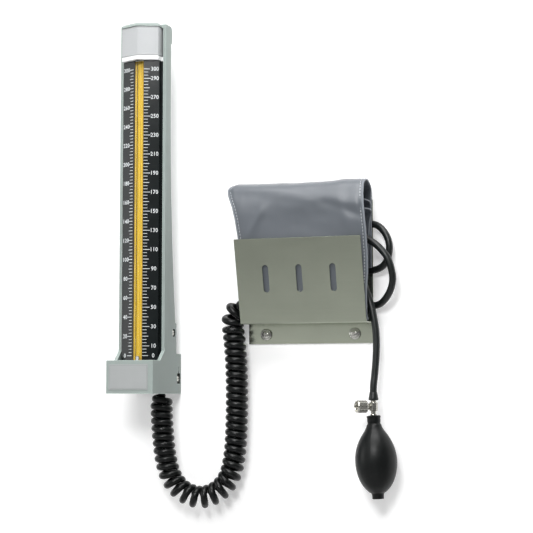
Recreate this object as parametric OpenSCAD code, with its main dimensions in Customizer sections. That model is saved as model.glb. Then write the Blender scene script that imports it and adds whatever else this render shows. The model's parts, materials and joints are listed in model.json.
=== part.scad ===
// Wall-mounted mercury sphygmomanometer with its cuff basket, cuff, coiled hose and bulb.
// Millimetres, +Z up. The wall is the plane y = 0 and everything stands out from it towards -Y.
// The origin is the centre of the wall bracket's back face. Places are written as
// [x, d, z], where d is the distance in front of the wall, so y = -d.

/* [Column] */
// Width of the housing and its base
column_w = 51; // [46:1:64]
// Distance from the wall to the column's front edges
column_front = 44.5; // [42:0.5:56]
// Depth of the column at its thin top
column_thin = 13.5; // [12:0.5:16]
// Gap between the wall and the back of the column just above the base
column_gap = 15; // [13:0.5:17]
// Thickness of the side walls
side_wall = 3.2; // [2.4:0.1:4]
// Thickness of the back wall, the bulkhead and the base's roof
back_wall = 2.5; // [2:0.1:3]
// Radius of the rounded front edges
edge_r = 0.8; // [0.6:0.1:3]

/* [Base] */
// Height of the base box
base_h = 33.5; // [30:0.5:48]
// Distance from the bracket's centre down to the underside of the base
base_drop = 20.5; // [20:0.5:24]
// Distance from the wall to the front of the base
base_front = 74.5; // [70:0.5:92]
// Height and run of the sloping shoulders above the base
shoulder = 11; // [6:0.5:12]

/* [Scale] */
// Height of one mmHg on the scale
mmhg = 0.98; // [0.8:0.01:1.18]
// Highest reading in mmHg
scale_max = 300; // [260:10:320]
// Height of the zero mark above the base
zero_rise = 5; // [4:0.5:8]
// Sheet thickness of the scale plate
plate_t = 1.6; // [1.2:0.1:2]
// Half width of the trough that holds the tube
trough_half = 4.9; // [4.7:0.1:5.4]
// How far the outer edges of the plate's facets stand in front of its flat margins
plate_step = 5; // [3:0.25:6]
// How far the facets' inner edges stand in front of their outer ones
plate_crown = 5.8; // [5:0.1:7]
// Depth of the trough that holds the tube
trough_depth = 5.2; // [4.8:0.1:6]

/* [Tube and mercury] */
// Outer diameter of the glass tube
tube_od = 8; // [7:0.1:8.4]
// Bore of the glass tube
tube_bore = 3.6; // [3.2:0.1:4.2]
// Clearance of the mercury inside the glass
mercury_gap = 0.12; // [0.08:0.01:0.2]

/* [Reservoir] */
// Width of the reservoir
reservoir_w = 40; // [34:1:41]
// Depth of the reservoir from back to front
reservoir_d = 20; // [18:0.5:21]
// Wall of the reservoir
reservoir_t = 1.6; // [1.2:0.1:2]
// Thickness of the reservoir's lid
lid_t = 2.5; // [2:0.1:4]

/* [Cap] */
// Height of the cap over the tube clamp
cap_h = 29.6; // [27:0.2:34]
// Sheet thickness of the cap
cap_t = 1.2; // [1:0.1:1.4]
// Half width of the cap across its sides
cap_half = 20.3; // [19.5:0.1:21.5]
// Half width of the cap's flat ridge
cap_flat = 1.3; // [1:0.1:3]
// Distance from the wall to the cap's front corners
cap_edge = 52.8; // [51:0.2:54]
// Distance from the wall to the cap's ridge
cap_front = 60.8; // [60.6:0.1:62]
// Height of the white clamp strip over the scale
strip_h = 4.6; // [4:0.2:6]

/* [Basket] */
// Width of the basket
basket_w = 131.5; // [116:0.5:158]
// Height of the basket's back plate
basket_h = 144; // [138:1:172]
// Sheet thickness of the basket
sheet_t = 1.2; // [1:0.1:2]
// Distance from the manometer's centre line to the basket's
basket_x = 166.8; // [164:1:190]
// Height of the basket's lower edge above the bracket's centre
basket_z = 30; // [24:0.5:36]
// Depth of the pocket at its bottom
pocket_low = 27; // [26:0.5:32]
// Depth of the pocket at its mouth
pocket_high = 48; // [46:0.5:58]
// Height of the pocket's front panel
pocket_h = 84; // [76:1:100]
// Height of the pocket's floor above the back plate's lower edge
pocket_rise = 19.5; // [18:0.5:23]
// Distance between the two basket screws
screw_span = 93.6; // [80:0.2:110]

/* [Cuff and bulb] */
// Width of the folded cuff
cuff_w = 134; // [110:1:136]
// Height of the folded cuff above the pocket's floor
cuff_h = 139.5; // [132:0.5:150]
// Thickness of one folded layer of the cuff
cuff_t = 4.2; // [3:0.1:5]
// Outer diameter of the hoses
hose_d = 7; // [6:0.1:7.2]
// Length of the rubber bulb
bulb_len = 81; // [70:1:100]
// Largest diameter of the rubber bulb
bulb_d = 41; // [36:0.5:50]
// Wall of the rubber bulb
bulb_t = 2.6; // [2:0.1:3.5]

/* [Coiled hose] */
// Diameter of the coiled tube
coil_tube = 6.8; // [6:0.1:7]
// Outer diameter of the coil
coil_od = 23; // [21:0.5:24]
// Spacing of the turns on a straight run of the coil
coil_pitch = 7.35; // [7.3:0.05:9]

/* [Hidden] */

$fn = 48;
small_fn = 28;
eps = 0.01;            // overshoot of a cut past the face it opens
fit = 0.3;             // clearance between a part and the pocket that it drops into
running = 0.08;        // radial clearance of a turning or sliding fit

half_w = column_w / 2;
inner_w = half_w - side_wall;
base_top = base_h - base_drop;
bulkhead = 13;                          // front of the recess that takes the wall bracket
ear_rise = 7.7;                         // the base's rear ears, above the base's top
ear_top = base_top + ear_rise;
scale_zero = base_top + zero_rise;
scale_len = scale_max * mmhg;
scale_end = scale_zero + scale_len;
strip_z = scale_end + 9;
cap_z = strip_z + strip_h + 0.4;
cap_top = cap_z + cap_h;
roof_t = 3.5;
housing_top = cap_top + 0.4 + roof_t;
column_back = column_front - column_thin;
cap_back = column_front - 6.5;          // back of the cap's flanges, between the column's side walls
hood_back = column_back - 3;            // the thicker hood round the very top of the column
hood_z = housing_top - 17.5;
taper_z = ear_top + 31.5;               // where the back of the column starts to slope
taper_end = taper_z + 0.75 * (hood_z - taper_z);

plate_edge = column_front - 0.5;        // front of the plate's flat margins
plate_corner = plate_edge + plate_step; // outer edge of each facet
plate_front = plate_corner + plate_crown; // front of the plate beside the trough
plate_bottom = base_top - back_wall - 0.5;
margin_w = 2;
facet_out = inner_w - fit - margin_w;
trough_floor = plate_front - trough_depth;
tube_gap = 0.1;
backing_t = 0.6;
tube_axis = trough_floor + backing_t + tube_gap + tube_od / 2;
tube_top = cap_z + 5;
tube_bottom = base_top - 7.5;
seal_t = 1.5;
ledge_d = 2;                            // ribs inside the housing that the plate rests on
ledge_w = 1.7;

foot_top = plate_bottom - 0.4;
foot_bottom = tube_bottom - seal_t - 9;
foot_d = 14.5;
feed_z = foot_bottom + 4.6;
feed_bore = 3.4;
reservoir_back = bulkhead + back_wall + 0.5;
reservoir_mid = reservoir_back + reservoir_d / 2;
reservoir_z = feed_z - feed_bore / 2 - reservoir_t - 0.3;
gasket_t = 1.5;
cup_top = scale_zero + 12.5;
lid_z = cup_top + gasket_t;
clamp_z = lid_z + lid_t;
clamp_h = 11.5;
clamp_screw_z = clamp_z + 7.5;
clamp_depth = 12;
spigot_d = 8;

nozzle_x = 13.8;                        // axis of the air pipe, where the coiled hose starts
nozzle_d = 23.5;
nozzle_z = -14;
pipe_od = 5;
pipe_bore = 3;

hook_z = -5;                            // height and depth of the screws that hold the base
hook_depth = 6.5;
wall_hole_d = 5;
wall_hole_span = 20;
bracket_t = 2.5;
bracket_h = 30;
tab_t = 2.4;
tab_depth = 11;
hook_thread = 3.5;
recess_depth = 1.9;

screw_z = basket_z + 9.6;
screw_shank = 4;
screw_embed = 18;                       // length of the basket screws behind the wall's face
neck_step = 0.15;                       // the plain neck under a screw's head, below its thread
neck_past = 0.5;                        // how far the neck reaches behind the plate
washer_d = 12;
washer_h = 2.4;
basket_left = basket_x - basket_w / 2;
floor_z = basket_z + pocket_rise;
mouth_z = floor_z + pocket_h;
lean = (pocket_high - pocket_low) / pocket_h;
slot_w = 6.2;
slot_len = 27;
slot_pitch = 35;
slot_z = floor_z + 34;

cuff_gap = 0.4;
hose_lane = sheet_t + hose_d + 1.1;     // back of the cuff, in front of the hoses behind it
lane_top = 156;
cuff_z = floor_z + sheet_t + cuff_gap;
cuff_top = cuff_z + cuff_h;
cuff_right = basket_x + 64.4;
cuff_left = cuff_right - cuff_w;

// Base cover, its screws and the label plate.
cover_t = 2.4;
cover_z = -base_drop;
cover_thread = 2.6;
cover_screw_places = [[-16.5, base_front - 10], [16.5, base_front - 10], [-16.5, bulkhead + back_wall + 5]];
label_w = 42.5;
label_h = 25.4;
label_t = 0.5;
reservoir_screw_d = bulkhead + 7;
reservoir_thread = 3;
sink_d = 8.6;                           // round recesses in the side walls for the clamp's screws
sink_depth = 1.7;
pipe_top = scale_zero + 8;

// Clamp at the top of the tube.
filter_t = 1;
bridge_z = tube_top + seal_t + filter_t + 3;
bridge_t = 3;
bridge_half = 3.9;
bridge_thread = 2.6;
bridge_screw_z = [bridge_z - 9, bridge_z - 3];
clamp_thread = 5;

// Folded cuff, its bladder and its patch.
// Set-back of the cuff's front from the pocket's panel, as [share of the cuff's height, set-back].
crown = [[0, 1.1], [0.6, 1.1], [0.7, 1.5], [0.8, 3.5], [0.87, 7], [0.93, 12.5]];
cuff_bend = 0.93;
inner_top = cuff_top - 20;
inner_right = 49.7;                     // right edge of the inner layers, from the basket's centre line
bladder_back = 14.9;
bladder_t = 4;
patch_t = 0.8;
port_d = 8.4;
port_len = 3.2;
connector_d = 7.4;
joint_split = 0.45;                     // share of the connector that is the socket
joint_gap = 0.08;                       // gap between the connector and each hose's end

// Valve and bulb. The knob points left, and this many degrees forward.
knob_turn = 40;
sleeve_h = 8;
sleeve_d = 9.8;
stem_len = 14.5;
stem_d = 5.6;
collar_d = 6.8;
collar_h = 0.8;
collar_gap = 0.25;
hub_d = 8.6;
hub_drop = 6;
bulb_lean = 3;
knob_d = 12.4;
knob_len = 11;
knob_gap = 3.2;
seat_d = 4.4;
needle_d = 3.2;
ball_d = 4;
ball_rise = 4.2;
cage_bore = 4.6;

mercury_d = tube_bore - 2 * mercury_gap;
meniscus_h = 1;
pool_skin = 0.6;
pool_z = reservoir_z + reservoir_t;
pool_area = (reservoir_w - reservoir_d) * (reservoir_d - 2 * reservoir_t)
  + PI * pow(reservoir_d / 2 - reservoir_t, 2) - PI * pow(pipe_od / 2, 2);
pool_drop = scale_len * PI * pow(tube_bore / 2, 2) / pool_area;

// ---- small helpers ----

function at(p) = [p[0], -p[1], p[2]];
function unit(v) = v / norm(v);
function mix(a, b, t) = a + (b - a) * t;
function arc(cx, cy, r, a0, a1, steps) =
  [for (i = [0:steps]) let (a = mix(a0, a1, i / steps)) [cx + r * cos(a), cy + r * sin(a)]];

// Stands a profile drawn as [d, z] upright and centres its width on x.
module side_extrude(width, x = 0)
  translate([x - width / 2, 0, 0])
    rotate([90, 0, 90])
      linear_extrude(width)
        mirror([1, 0])
          children();

// Extrudes a plan drawn as [x, d] upwards from height z.
module plan_extrude(z, height)
  translate([0, 0, z])
    linear_extrude(height)
      mirror([0, 1])
        children();

// A round bar along X, Y or Z that starts at p = [x, d, z].
module bar_x(p, d, length, fn = small_fn)
  translate(at(p)) rotate([0, 90, 0]) cylinder(d = d, h = length, $fn = fn);
module bar_out(p, d, length, fn = small_fn)
  translate(at(p)) rotate([90, 0, 0]) cylinder(d = d, h = length, $fn = fn);
module bar_up(p, d, length, fn = small_fn)
  translate(at(p)) cylinder(d = d, h = length, $fn = fn);

// A box given by two opposite corners, both as [x, d, z].
module box(a, b)
  translate([a[0], -b[1], a[2]]) cube([b[0] - a[0], b[1] - a[1], b[2] - a[2]]);

module both_sides() {
  children();
  mirror([1, 0, 0]) children();
}

module stadium(w, d)
  union() {
    translate([-(w - d) / 2, -d / 2]) square([w - d, d]);
    for (s = [-1, 1]) translate([s * (w - d) / 2, 0]) circle(d = d, $fn = 64);
  }

// Reservoir outline, grown by g on every side, as a plan.
module reservoir_plan(g = 0)
  translate([0, reservoir_mid]) stadium(reservoir_w + 2 * g, reservoir_d + 2 * g);

// Concave cutter that rounds the upright edge at x = w, d = front.
module edge_cutter(w, front, r, z0, z1)
  difference() {
    box([w - r, front - r, z0], [w + 1, front + 1, z1]);
    bar_up([w - r, front - r, z0 - 1], 2 * r, z1 - z0 + 2, 48);
  }

// Faceted front of the cap and its neighbours, as a plan, grown by g.
function cap_face(g = 0) = [
  [-cap_half - g, cap_edge + g], [-cap_flat - g / 3, cap_front + g],
  [cap_flat + g / 3, cap_front + g], [cap_half + g, cap_edge + g]
];
// The same with straight sides from depth d_side, and margins of half width w back to d_back.
function cap_outline(w, d_back, d_side, g = 0) = concat(
  [[-w, d_back], [-w, d_side], [-cap_half - g, d_side]],
  cap_face(g),
  [[cap_half + g, d_side], [w, d_side], [w, d_back]]
);

// A tube swept along points, with the given number of sides. Its ends are flat.
function ring_frame(pts, i) = let (
  n = len(pts),
  t = unit(pts[min(i + 1, n - 1)] - pts[max(i - 1, 0)]),
  a = unit(cross(t, [0, 1, 0]))
) [a, cross(t, a)];
function ring_points(c, frame, r, sides) =
  [for (k = [0:sides - 1]) c + r * (cos(360 * k / sides) * frame[0] + sin(360 * k / sides) * frame[1])];
function tube_faces(rings, sides) = concat(
  [for (k = [1:sides - 2]) [0, k, k + 1]],
  [for (i = [0:rings - 2], k = [0:sides - 1], half = [0, 1]) let (
    a = i * sides + k,
    b = i * sides + (k + 1) % sides
  ) half == 0 ? [a, a + sides, b] : [b, a + sides, b + sides]],
  [for (k = [1:sides - 2]) let (o = (rings - 1) * sides) [o, o + k + 1, o + k]]
);
module swept_tube(pts, d, sides = 10)
  polyhedron(
    [for (i = [0:len(pts) - 1]) each ring_points(pts[i], ring_frame(pts, i), d / 2, sides)],
    tube_faces(len(pts), sides),
    convexity = 8
  );

// Catmull-Rom curve through the points, at u from 0 to len - 1.
function spline(pts, u) = let (
  n = len(pts),
  i = min(floor(u), n - 2),
  t = u - i,
  a = pts[max(i - 1, 0)],
  b = pts[i],
  c = pts[i + 1],
  d = pts[min(i + 2, n - 1)]
) 0.5 * (2 * b + (c - a) * t + (2 * a - 5 * b + 4 * c - d) * t * t
  + (3 * b - a - 3 * c + d) * t * t * t);

// ---- routes of the hoses, as [x, d, z] points chosen by hand ----

// Axis of the coil, from the base down, round and up to the basket's left edge.
coil_axis = [
  [13.8, 23.5, -21], [13.8, 23.5, -30], [14.3, 23.3, -46], [15.8, 23, -66], [18.6, 22, -88],
  [24.5, 21.2, -106], [37, 20.2, -119.5], [55, 19, -125], [73, 17.6, -119], [85.5, 16.4, -104],
  [90.8, 15.6, -82], [92.4, 15.2, -58], [93, 15, -30], [92.6, 15, 0], [91, 15, 26], [88.6, 15, 46],
  [88.3, 14.8, 55], [92, 14.6, 64], [97.5, 14, 71.5]
];
// The plain end of the coiled hose, behind the pocket's front panel and behind the cuff.
coil_tail = [
  [99.2, 12.2, 75.5], [100.8, 9, 80.8], [102.2, 6.4, 86.4], [103.2, 5.3, 92], [105.8, 5.2, 97.32],
  [111, 5.2, 102]
];
// The cuff's hose: out of the cuff, round both loops and back behind the cuff to the plug.
cuff_hose_route = [
  [216.5, 21.5, 138.6], [219, 21.5, 138.6], [225.5, 21.8, 136.6], [231.9, 22.3, 132.4], [240.8, 23.4, 127],
  [248.2, 24, 120], [253.8, 24.1, 112], [257.1, 23.4, 102], [258, 21.6, 92.2], [255.6, 18.9, 83],
  [250.6, 15.4, 75.2], [244.6, 11.4, 69.8], [238.5, 7.4, 67.4], [232, 5.5, 67], [227, 5.2, 67],
  [218, 5.2, 67.6],
  [207.5, 5.2, 72.5], [202, 5.2, 84.5], [207.5, 5.2, 96.5], [218, 5.2, 101.6], [229, 5.2, 101.9],
  [237, 6.6, 102.8], [244.8, 8.8, 106], [250, 10.6, 113], [252.3, 11.4, 123],
  [250.5, 11, 133.4], [245, 9.6, 142], [238.6, 7.2, 147], [231.6, 5.4, 149], [226, 5.2, 149.8],
  [214, 5.2, 150.2],
  [196, 5.2, 150], [176, 5.2, 147.4], [160, 5.2, 142.6], [146.45, 5.2, 133.85], [140.5, 5.2, 128.5]
];
// The bulb's hose: from its port on the cuff to the sleeve over the valve.
bulb_hose_route = [
  [217, 17.9, 97.6], [220.3, 17.9, 97.6], [223.2, 17.9, 96.2], [226.4, 17.9, 92], [228.9, 17.9, 84],
  [232, 18.2, 76], [235.4, 19, 66],
  [238.2, 20, 54], [240.2, 20.6, 42], [241, 21.2, 28], [240.6, 22.2, 12], [239.6, 23.4, -2],
  [238.8, 24.7, -12], [238.7, 25, -17.5], [238.7, 25, -19]
];

joint_a = at(coil_tail[len(coil_tail) - 1]);
joint_b = at(cuff_hose_route[len(cuff_hose_route) - 1]);
joint_len = norm(joint_b - joint_a);
valve_top = bulb_hose_route[len(bulb_hose_route) - 1];
hub_z = valve_top[2] - sleeve_h - hub_drop;
bulb_z = valve_top[2] - sleeve_h - stem_len;
ball_z = ball_rise - bulb_len;

// ---- the coiled hose ----

coil_r = (coil_od - coil_tube) / 2;
coil_rings = 8;
coil_sides = 6;
coil_steps = 320;
ease_len = 6;                            // run over which the coil opens to its full radius
coil_pts = [for (k = [0:coil_steps]) at(spline(coil_axis, k * (len(coil_axis) - 1) / coil_steps))];
coil_s = [for (k = 0, s = 0; k <= coil_steps;
  s = s + (k < coil_steps ? norm(coil_pts[k + 1] - coil_pts[k]) : 0), k = k + 1) s];
coil_run = coil_s[coil_steps];
coil_index = [for (k = [0:coil_steps]) [coil_s[k], k]];
function axis_at(s) = let (
  u = lookup(s, coil_index),
  i = min(floor(u), coil_steps - 1)
) mix(coil_pts[i], coil_pts[i + 1], u - i);
function axis_tangent(s) = unit(axis_at(min(s + 2, coil_run)) - axis_at(max(s - 2, 0)));
function axis_bend(s) = norm(axis_tangent(min(s + 5, coil_run)) - axis_tangent(max(s - 5, 0))) / 10;
// The turns open out in the bend, so that they clear one another on its inner side.
function pitch_at(s) = coil_pitch / (1 - coil_r * axis_bend(s));
function ease(t) = t <= 0 ? 0 : t >= 1 ? 1 : t * t * (3 - 2 * t);
function coil_radius(s) = coil_r * ease(s / ease_len) * ease((coil_run - s) / ease_len);
coil_turn = [for (k = 0, a = 0; k <= coil_steps;
  a = a + (k < coil_steps ? (coil_s[k + 1] - coil_s[k]) * 360 / pitch_at(coil_s[k]) : 0), k = k + 1) a];
coil_inverse = [for (k = [0:coil_steps]) [coil_turn[k], coil_s[k]]];
coil_count = floor(coil_turn[coil_steps] / 360 * coil_rings);
function coil_frame(s, a) = let (
  t = axis_tangent(s),
  n = unit(cross(t, [0, 1, 0])),
  b = cross(n, t)
) cos(a) * n + sin(a) * b;
function coil_place(i) = let (
  a = i * 360 / coil_rings,
  s = lookup(a, coil_inverse)
) axis_at(s) + coil_radius(s) * coil_frame(s, a);
coil_start = [at([nozzle_x, nozzle_d, nozzle_z])];
coil_centres = concat(coil_start, [for (i = [0:coil_count]) coil_place(i)], [for (p = coil_tail) at(p)]);
function coil_ring(i) = let (
  n = len(coil_centres),
  t = unit(coil_centres[min(i + 1, n - 1)] - coil_centres[max(i - 1, 0)]),
  a = (min(max(i - 1, 0), coil_count)) * 360 / coil_rings,
  s = lookup(a, coil_inverse),
  e = coil_frame(s, a),
  n1 = unit(e - (e * t) * t)
) ring_points(coil_centres[i], [n1, cross(t, n1)], coil_tube / 2, coil_sides);
coil_gap = min([for (i = [0:len(coil_centres) - 7]) min([for (j = [i + 6:min(i + 24, len(coil_centres) - 1)])
  norm(coil_centres[i] - coil_centres[j])])]) - coil_tube;
echo(coil_turns = coil_turn[coil_steps] / 360, least_gap = coil_gap, pool_drop = pool_drop);

module coiled_hose()
  color([0.1, 0.1, 0.11])
    polyhedron(
      [for (i = [0:len(coil_centres) - 1]) each coil_ring(i)],
      tube_faces(len(coil_centres), coil_sides),
      convexity = 10
    );

// ---- wall bracket and housing ----

module wall_bracket()
  color("silver")
    difference() {
      union() {
        box([-inner_w + fit, 0, -bracket_h / 2], [inner_w - fit, bracket_t, bracket_h / 2]);
        both_sides()
          box([inner_w - fit - tab_t, 0, hook_z - 7], [inner_w - fit, tab_depth, hook_z + 7]);
      }
      for (s = [-1, 1]) bar_out([s * wall_hole_span / 2, -1, 0], wall_hole_d, bracket_t + 2, 48);
      bar_x([-half_w, hook_depth, hook_z], hook_thread, column_w);
    }

// Back of the column at height z: thick at the base, thinning towards the top.
function back_of(z) = column_back
  - (column_back - column_gap - 1) * pow(max(0, 1 - (z - taper_z) / (taper_end - taper_z)), 2);
function back_curve(g, z0, z1, steps) =
  [for (i = [0:steps]) let (z = mix(z0, z1, i / steps)) [back_of(z) + g, z]];

module side_outline()
  polygon(concat(
    [[0, -base_drop], [base_front, -base_drop], [base_front, base_top],
      [column_front + shoulder, base_top], [column_front, base_top + shoulder - 1],
      [column_front, housing_top]],
    arc(hood_back + 5, housing_top - 5, 5, 90, 180, 6),
    [[hood_back, hood_z], [column_back, hood_z]],
    back_curve(0, hood_z - 2, taper_z, 24),
    [[bulkhead, taper_z], [bulkhead, ear_top], [0, ear_top]]
  ));

module channel_outline()
  polygon(concat(
    [[cap_front + 5, base_top - eps], [cap_front + 5, housing_top - roof_t],
      [column_back + back_wall, housing_top - roof_t]],
    back_curve(back_wall, hood_z, taper_z, 24),
    [[bulkhead + back_wall, taper_z - 3], [bulkhead + back_wall, base_top - eps]]
  ));

// Front outline of the scale plate, as a plan, grown by g.
function plate_face(g) = [
  [-inner_w + fit - g, plate_edge + g], [-facet_out - g, plate_edge + g],
  [-facet_out - g, plate_corner + g], [-trough_half - g, plate_front + g],
  [-trough_half - g, trough_floor + g], [trough_half + g, trough_floor + g],
  [trough_half + g, plate_front + g], [facet_out + g, plate_corner + g],
  [facet_out + g, plate_edge + g], [inner_w - fit + g, plate_edge + g]
];

// Opening in the base's roof: the plate's faceted front, and the tube that stands before it.
module roof_opening() {
  polygon([[-inner_w, bulkhead + back_wall], [inner_w, bulkhead + back_wall], [inner_w, plate_edge + fit],
    [facet_out + fit, plate_edge + fit], [facet_out + fit, plate_corner + fit],
    [trough_half, plate_front + fit], [-trough_half, plate_front + fit],
    [-facet_out - fit, plate_corner + fit], [-facet_out - fit, plate_edge + fit],
    [-inner_w, plate_edge + fit]]);
  translate([0, tube_axis]) circle(d = tube_od + 2 * fit, $fn = 48);
}

module hook_recess(x)
  union() {
    box([x, hook_depth - 4.2, hook_z - 5.2], [x + recess_depth + 1, hook_depth + 4.2, hook_z + 5.6]);
    box([x, hook_depth - 0.6, hook_z + 5], [x + recess_depth + 1, hook_depth + 0.6, hook_z + 13]);
  }

// Rounded top edge: a bevel cut along each front edge of the roof.
module bevel(a, b, size) {
  run = norm(b - a);
  translate(at([a[0], a[1], housing_top]))
    rotate([0, 0, -atan2(b[1] - a[1], b[0] - a[0])])
      rotate([45, 0, 0])
        translate([-2, -size, -size])
          cube([run + 4, 2 * size, 2 * size]);
}

module housing_roof() {
  outline = cap_outline(half_w, hood_back + 3, plate_edge, 0.8);
  difference() {
    plan_extrude(housing_top - roof_t, roof_t) polygon(outline);
    for (i = [2:6]) bevel(outline[i], outline[i + 1], 1.3);
  }
}

module housing()
  color([0.63, 0.68, 0.65])
    difference() {
      union() {
        difference() {
          intersection() {
            side_extrude(column_w) side_outline();
            plan_extrude(-base_drop, housing_top + base_drop)
              union() {
                translate([-half_w, 0]) square([column_w, base_front - edge_r]);
                translate([-half_w + edge_r, 0]) square([column_w - 2 * edge_r, base_front]);
                for (s = [-1, 1]) translate([s * (half_w - edge_r), base_front - edge_r]) circle(r = edge_r);
              }
          }
          side_extrude(2 * inner_w) channel_outline();
          both_sides()
            edge_cutter(half_w, column_front, edge_r, base_top + shoulder + 1, housing_top + 1);
          // inside of the base
          box([-inner_w, bulkhead + back_wall, -base_drop - 1],
            [inner_w, base_front - side_wall, base_top - back_wall]);
          plan_extrude(base_top - back_wall - 1, back_wall + 2) roof_opening();
          // recess for the wall bracket
          box([-inner_w, -1, -base_drop - 1], [inner_w, bulkhead, ear_top - back_wall]);
        }
        housing_roof();
        // ribs that carry the scale plate
        both_sides()
          box([inner_w - ledge_w, plate_edge - plate_t - ledge_d, base_top + 3],
            [inner_w + eps, plate_edge - plate_t, strip_z]);
        // screw bosses for the base cover
        for (p = cover_screw_places)
          box([p[0] - (p[0] > 0 ? 3.5 : inner_w + p[0]), p[1] - 3.5, cover_z + cover_t],
            [p[0] + (p[0] > 0 ? inner_w - p[0] : 3.5), p[1] + 3.5, cover_z + cover_t + 9]);
      }
      both_sides() {
        hook_recess(half_w - recess_depth);
        bar_x([inner_w - 1, hook_depth, hook_z], hook_thread + 2 * fit, side_wall + 2);
        bar_x([inner_w - 1, reservoir_screw_d, clamp_screw_z], reservoir_thread + 2 * fit, side_wall + 2);
        bar_x([half_w - sink_depth, reservoir_screw_d, clamp_screw_z], sink_d, 3, 48);
      }
      for (p = cover_screw_places) bar_up([p[0], p[1], cover_z], cover_thread, cover_t + 7);
      for (z = bridge_screw_z) bar_out([0, column_back - 2, z], bridge_thread, back_wall + 4);
    }

// Pan head with a shank, standing at the origin and pointing along +Z, head at z >= 0.
// The shank is a little thinner over neck_len, under the head.
module pan_screw(head_d, head_h, shank_d, shank_len, neck_len = 0)
  difference() {
    rotate_extrude()
      polygon(concat(
        [[0, -shank_len], [shank_d / 2, -shank_len]],
        neck_len > 0
          ? [[shank_d / 2, -neck_len], [shank_d / 2 - neck_step, -neck_len],
            [shank_d / 2 - neck_step, 0]]
          : [[shank_d / 2, 0]],
        [[head_d / 2, 0], [head_d / 2, head_h * 0.4]],
        [for (i = [1:5]) [head_d / 2 * cos(18 * i), head_h * (0.4 + 0.6 * sin(18 * i))]]
      ));
    for (a = [0, 90])
      rotate([0, 0, a])
        translate([-head_d * 0.28, -head_d * 0.06, head_h * 0.35])
          cube([head_d * 0.56, head_d * 0.12, head_h]);
  }

module hook_screws()
  color([0.9, 0.9, 0.88])
    both_sides()
      translate(at([half_w - recess_depth, hook_depth, hook_z]))
        rotate([0, 90, 0])
          pan_screw(6, 1.7, hook_thread - 2 * running, side_wall - recess_depth + tab_t + fit);

module base_cover()
  color([0.5, 0.53, 0.51])
    difference() {
      box([-inner_w + fit, bulkhead + back_wall + fit, cover_z],
        [inner_w - fit, base_front - side_wall - fit, cover_z + cover_t]);
      bar_up([nozzle_x, nozzle_d, cover_z - 1], coil_tube + 8 * fit, cover_t + 2, 48);
      for (p = cover_screw_places) {
        bar_up([p[0], p[1], cover_z - 1], cover_thread + 0.5, cover_t + 2);
        bar_up([p[0], p[1], cover_z - 1], 5.2, 1 + 1.2);
      }
    }

module base_cover_screws()
  color("silver")
    for (p = cover_screw_places)
      translate(at([p[0], p[1], cover_z + 1.2]))
        mirror([0, 0, 1]) pan_screw(4.8, 1.1, cover_thread - 2 * running, cover_t + 4);

module label_plate()
  color([0.78, 0.8, 0.79])
    box([-label_w / 2 - 1, base_front, -base_drop + (base_h - label_h) / 2],
      [label_w / 2 - 1, base_front + label_t, -base_drop + (base_h + label_h) / 2]);

// ---- scale, glass tube and clamp ----

module scale_plate()
  color([0.12, 0.13, 0.14])
    plan_extrude(plate_bottom, strip_z - plate_bottom)
      polygon(concat(
        plate_face(0),
        [[inner_w - fit, plate_edge - plate_t], [facet_out - plate_t, plate_edge - plate_t],
          [facet_out - plate_t, plate_corner - 1.2], [trough_half + 1.4, plate_front - 2.3],
          [trough_half + 1.4, trough_floor - plate_t + 0.2],
          [-trough_half - 1.4, trough_floor - plate_t + 0.2],
          [-trough_half - 1.4, plate_front - 2.3], [-facet_out + plate_t, plate_corner - 1.2],
          [-facet_out + plate_t, plate_edge - plate_t], [-inner_w + fit, plate_edge - plate_t]]
      ));

module tube_backing()
  color([0.92, 0.75, 0.2])
    box([-trough_half + 0.2, trough_floor, plate_bottom],
      [trough_half - 0.2, trough_floor + backing_t, strip_z]);

module glass_tube()
  color([0.85, 0.9, 0.9, 0.5])
    difference() {
      bar_up([0, tube_axis, tube_bottom], tube_od, tube_top - tube_bottom, 48);
      bar_up([0, tube_axis, tube_bottom - 1], tube_bore, tube_top - tube_bottom + 2, 48);
    }

module tube_foot()
  color([0.35, 0.36, 0.37])
    difference() {
      union() {
        bar_up([0, tube_axis, foot_bottom], foot_d, foot_top - foot_bottom, 48);
        bar_out([0, reservoir_back + reservoir_d + gasket_t, feed_z], spigot_d + 2,
          tube_axis - reservoir_back - reservoir_d - gasket_t, 48);
        bar_out([0, reservoir_back + reservoir_d - reservoir_t, feed_z], spigot_d,
          tube_axis - reservoir_back - reservoir_d + reservoir_t, 48);
      }
      bar_up([0, tube_axis, tube_bottom - seal_t], tube_od + 0.3, 40, 48);
      bar_up([0, tube_axis, feed_z], feed_bore, 20);
      bar_out([0, reservoir_back, feed_z], feed_bore, tube_axis - reservoir_back);
    }

module ring(p, od, id, h)
  difference() {
    bar_up(p, od, h, 48);
    bar_up([p[0], p[1], p[2] - 1], id, h + 2, 48);
  }

module lower_seal()
  color([0.2, 0.2, 0.2])
    ring([0, tube_axis, tube_bottom - seal_t], tube_od, tube_bore, seal_t);

module upper_seal()
  color([0.2, 0.2, 0.2])
    ring([0, tube_axis, tube_top], tube_od - 0.4, tube_bore, seal_t);

module vent_filter()
  color([0.8, 0.72, 0.55])
    bar_up([0, tube_axis, tube_top + seal_t], tube_od - 0.4, filter_t, 48);

module clamp_bridge()
  color("silver")
    difference() {
      union() {
        box([-bridge_half, column_back + back_wall, bridge_z], [bridge_half, tube_axis, bridge_z + bridge_t]);
        bar_up([0, tube_axis, bridge_z], 2 * bridge_half, bridge_t, 48);
        box([-bridge_half, column_back + back_wall, bridge_z - 12],
          [bridge_half, column_back + back_wall + 2.5, bridge_z]);
      }
      bar_up([0, tube_axis, bridge_z - 1], clamp_thread + 2 * running, bridge_t + 2, 48);
      for (z = bridge_screw_z) bar_out([0, column_back, z], bridge_thread, 10);
    }

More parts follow.
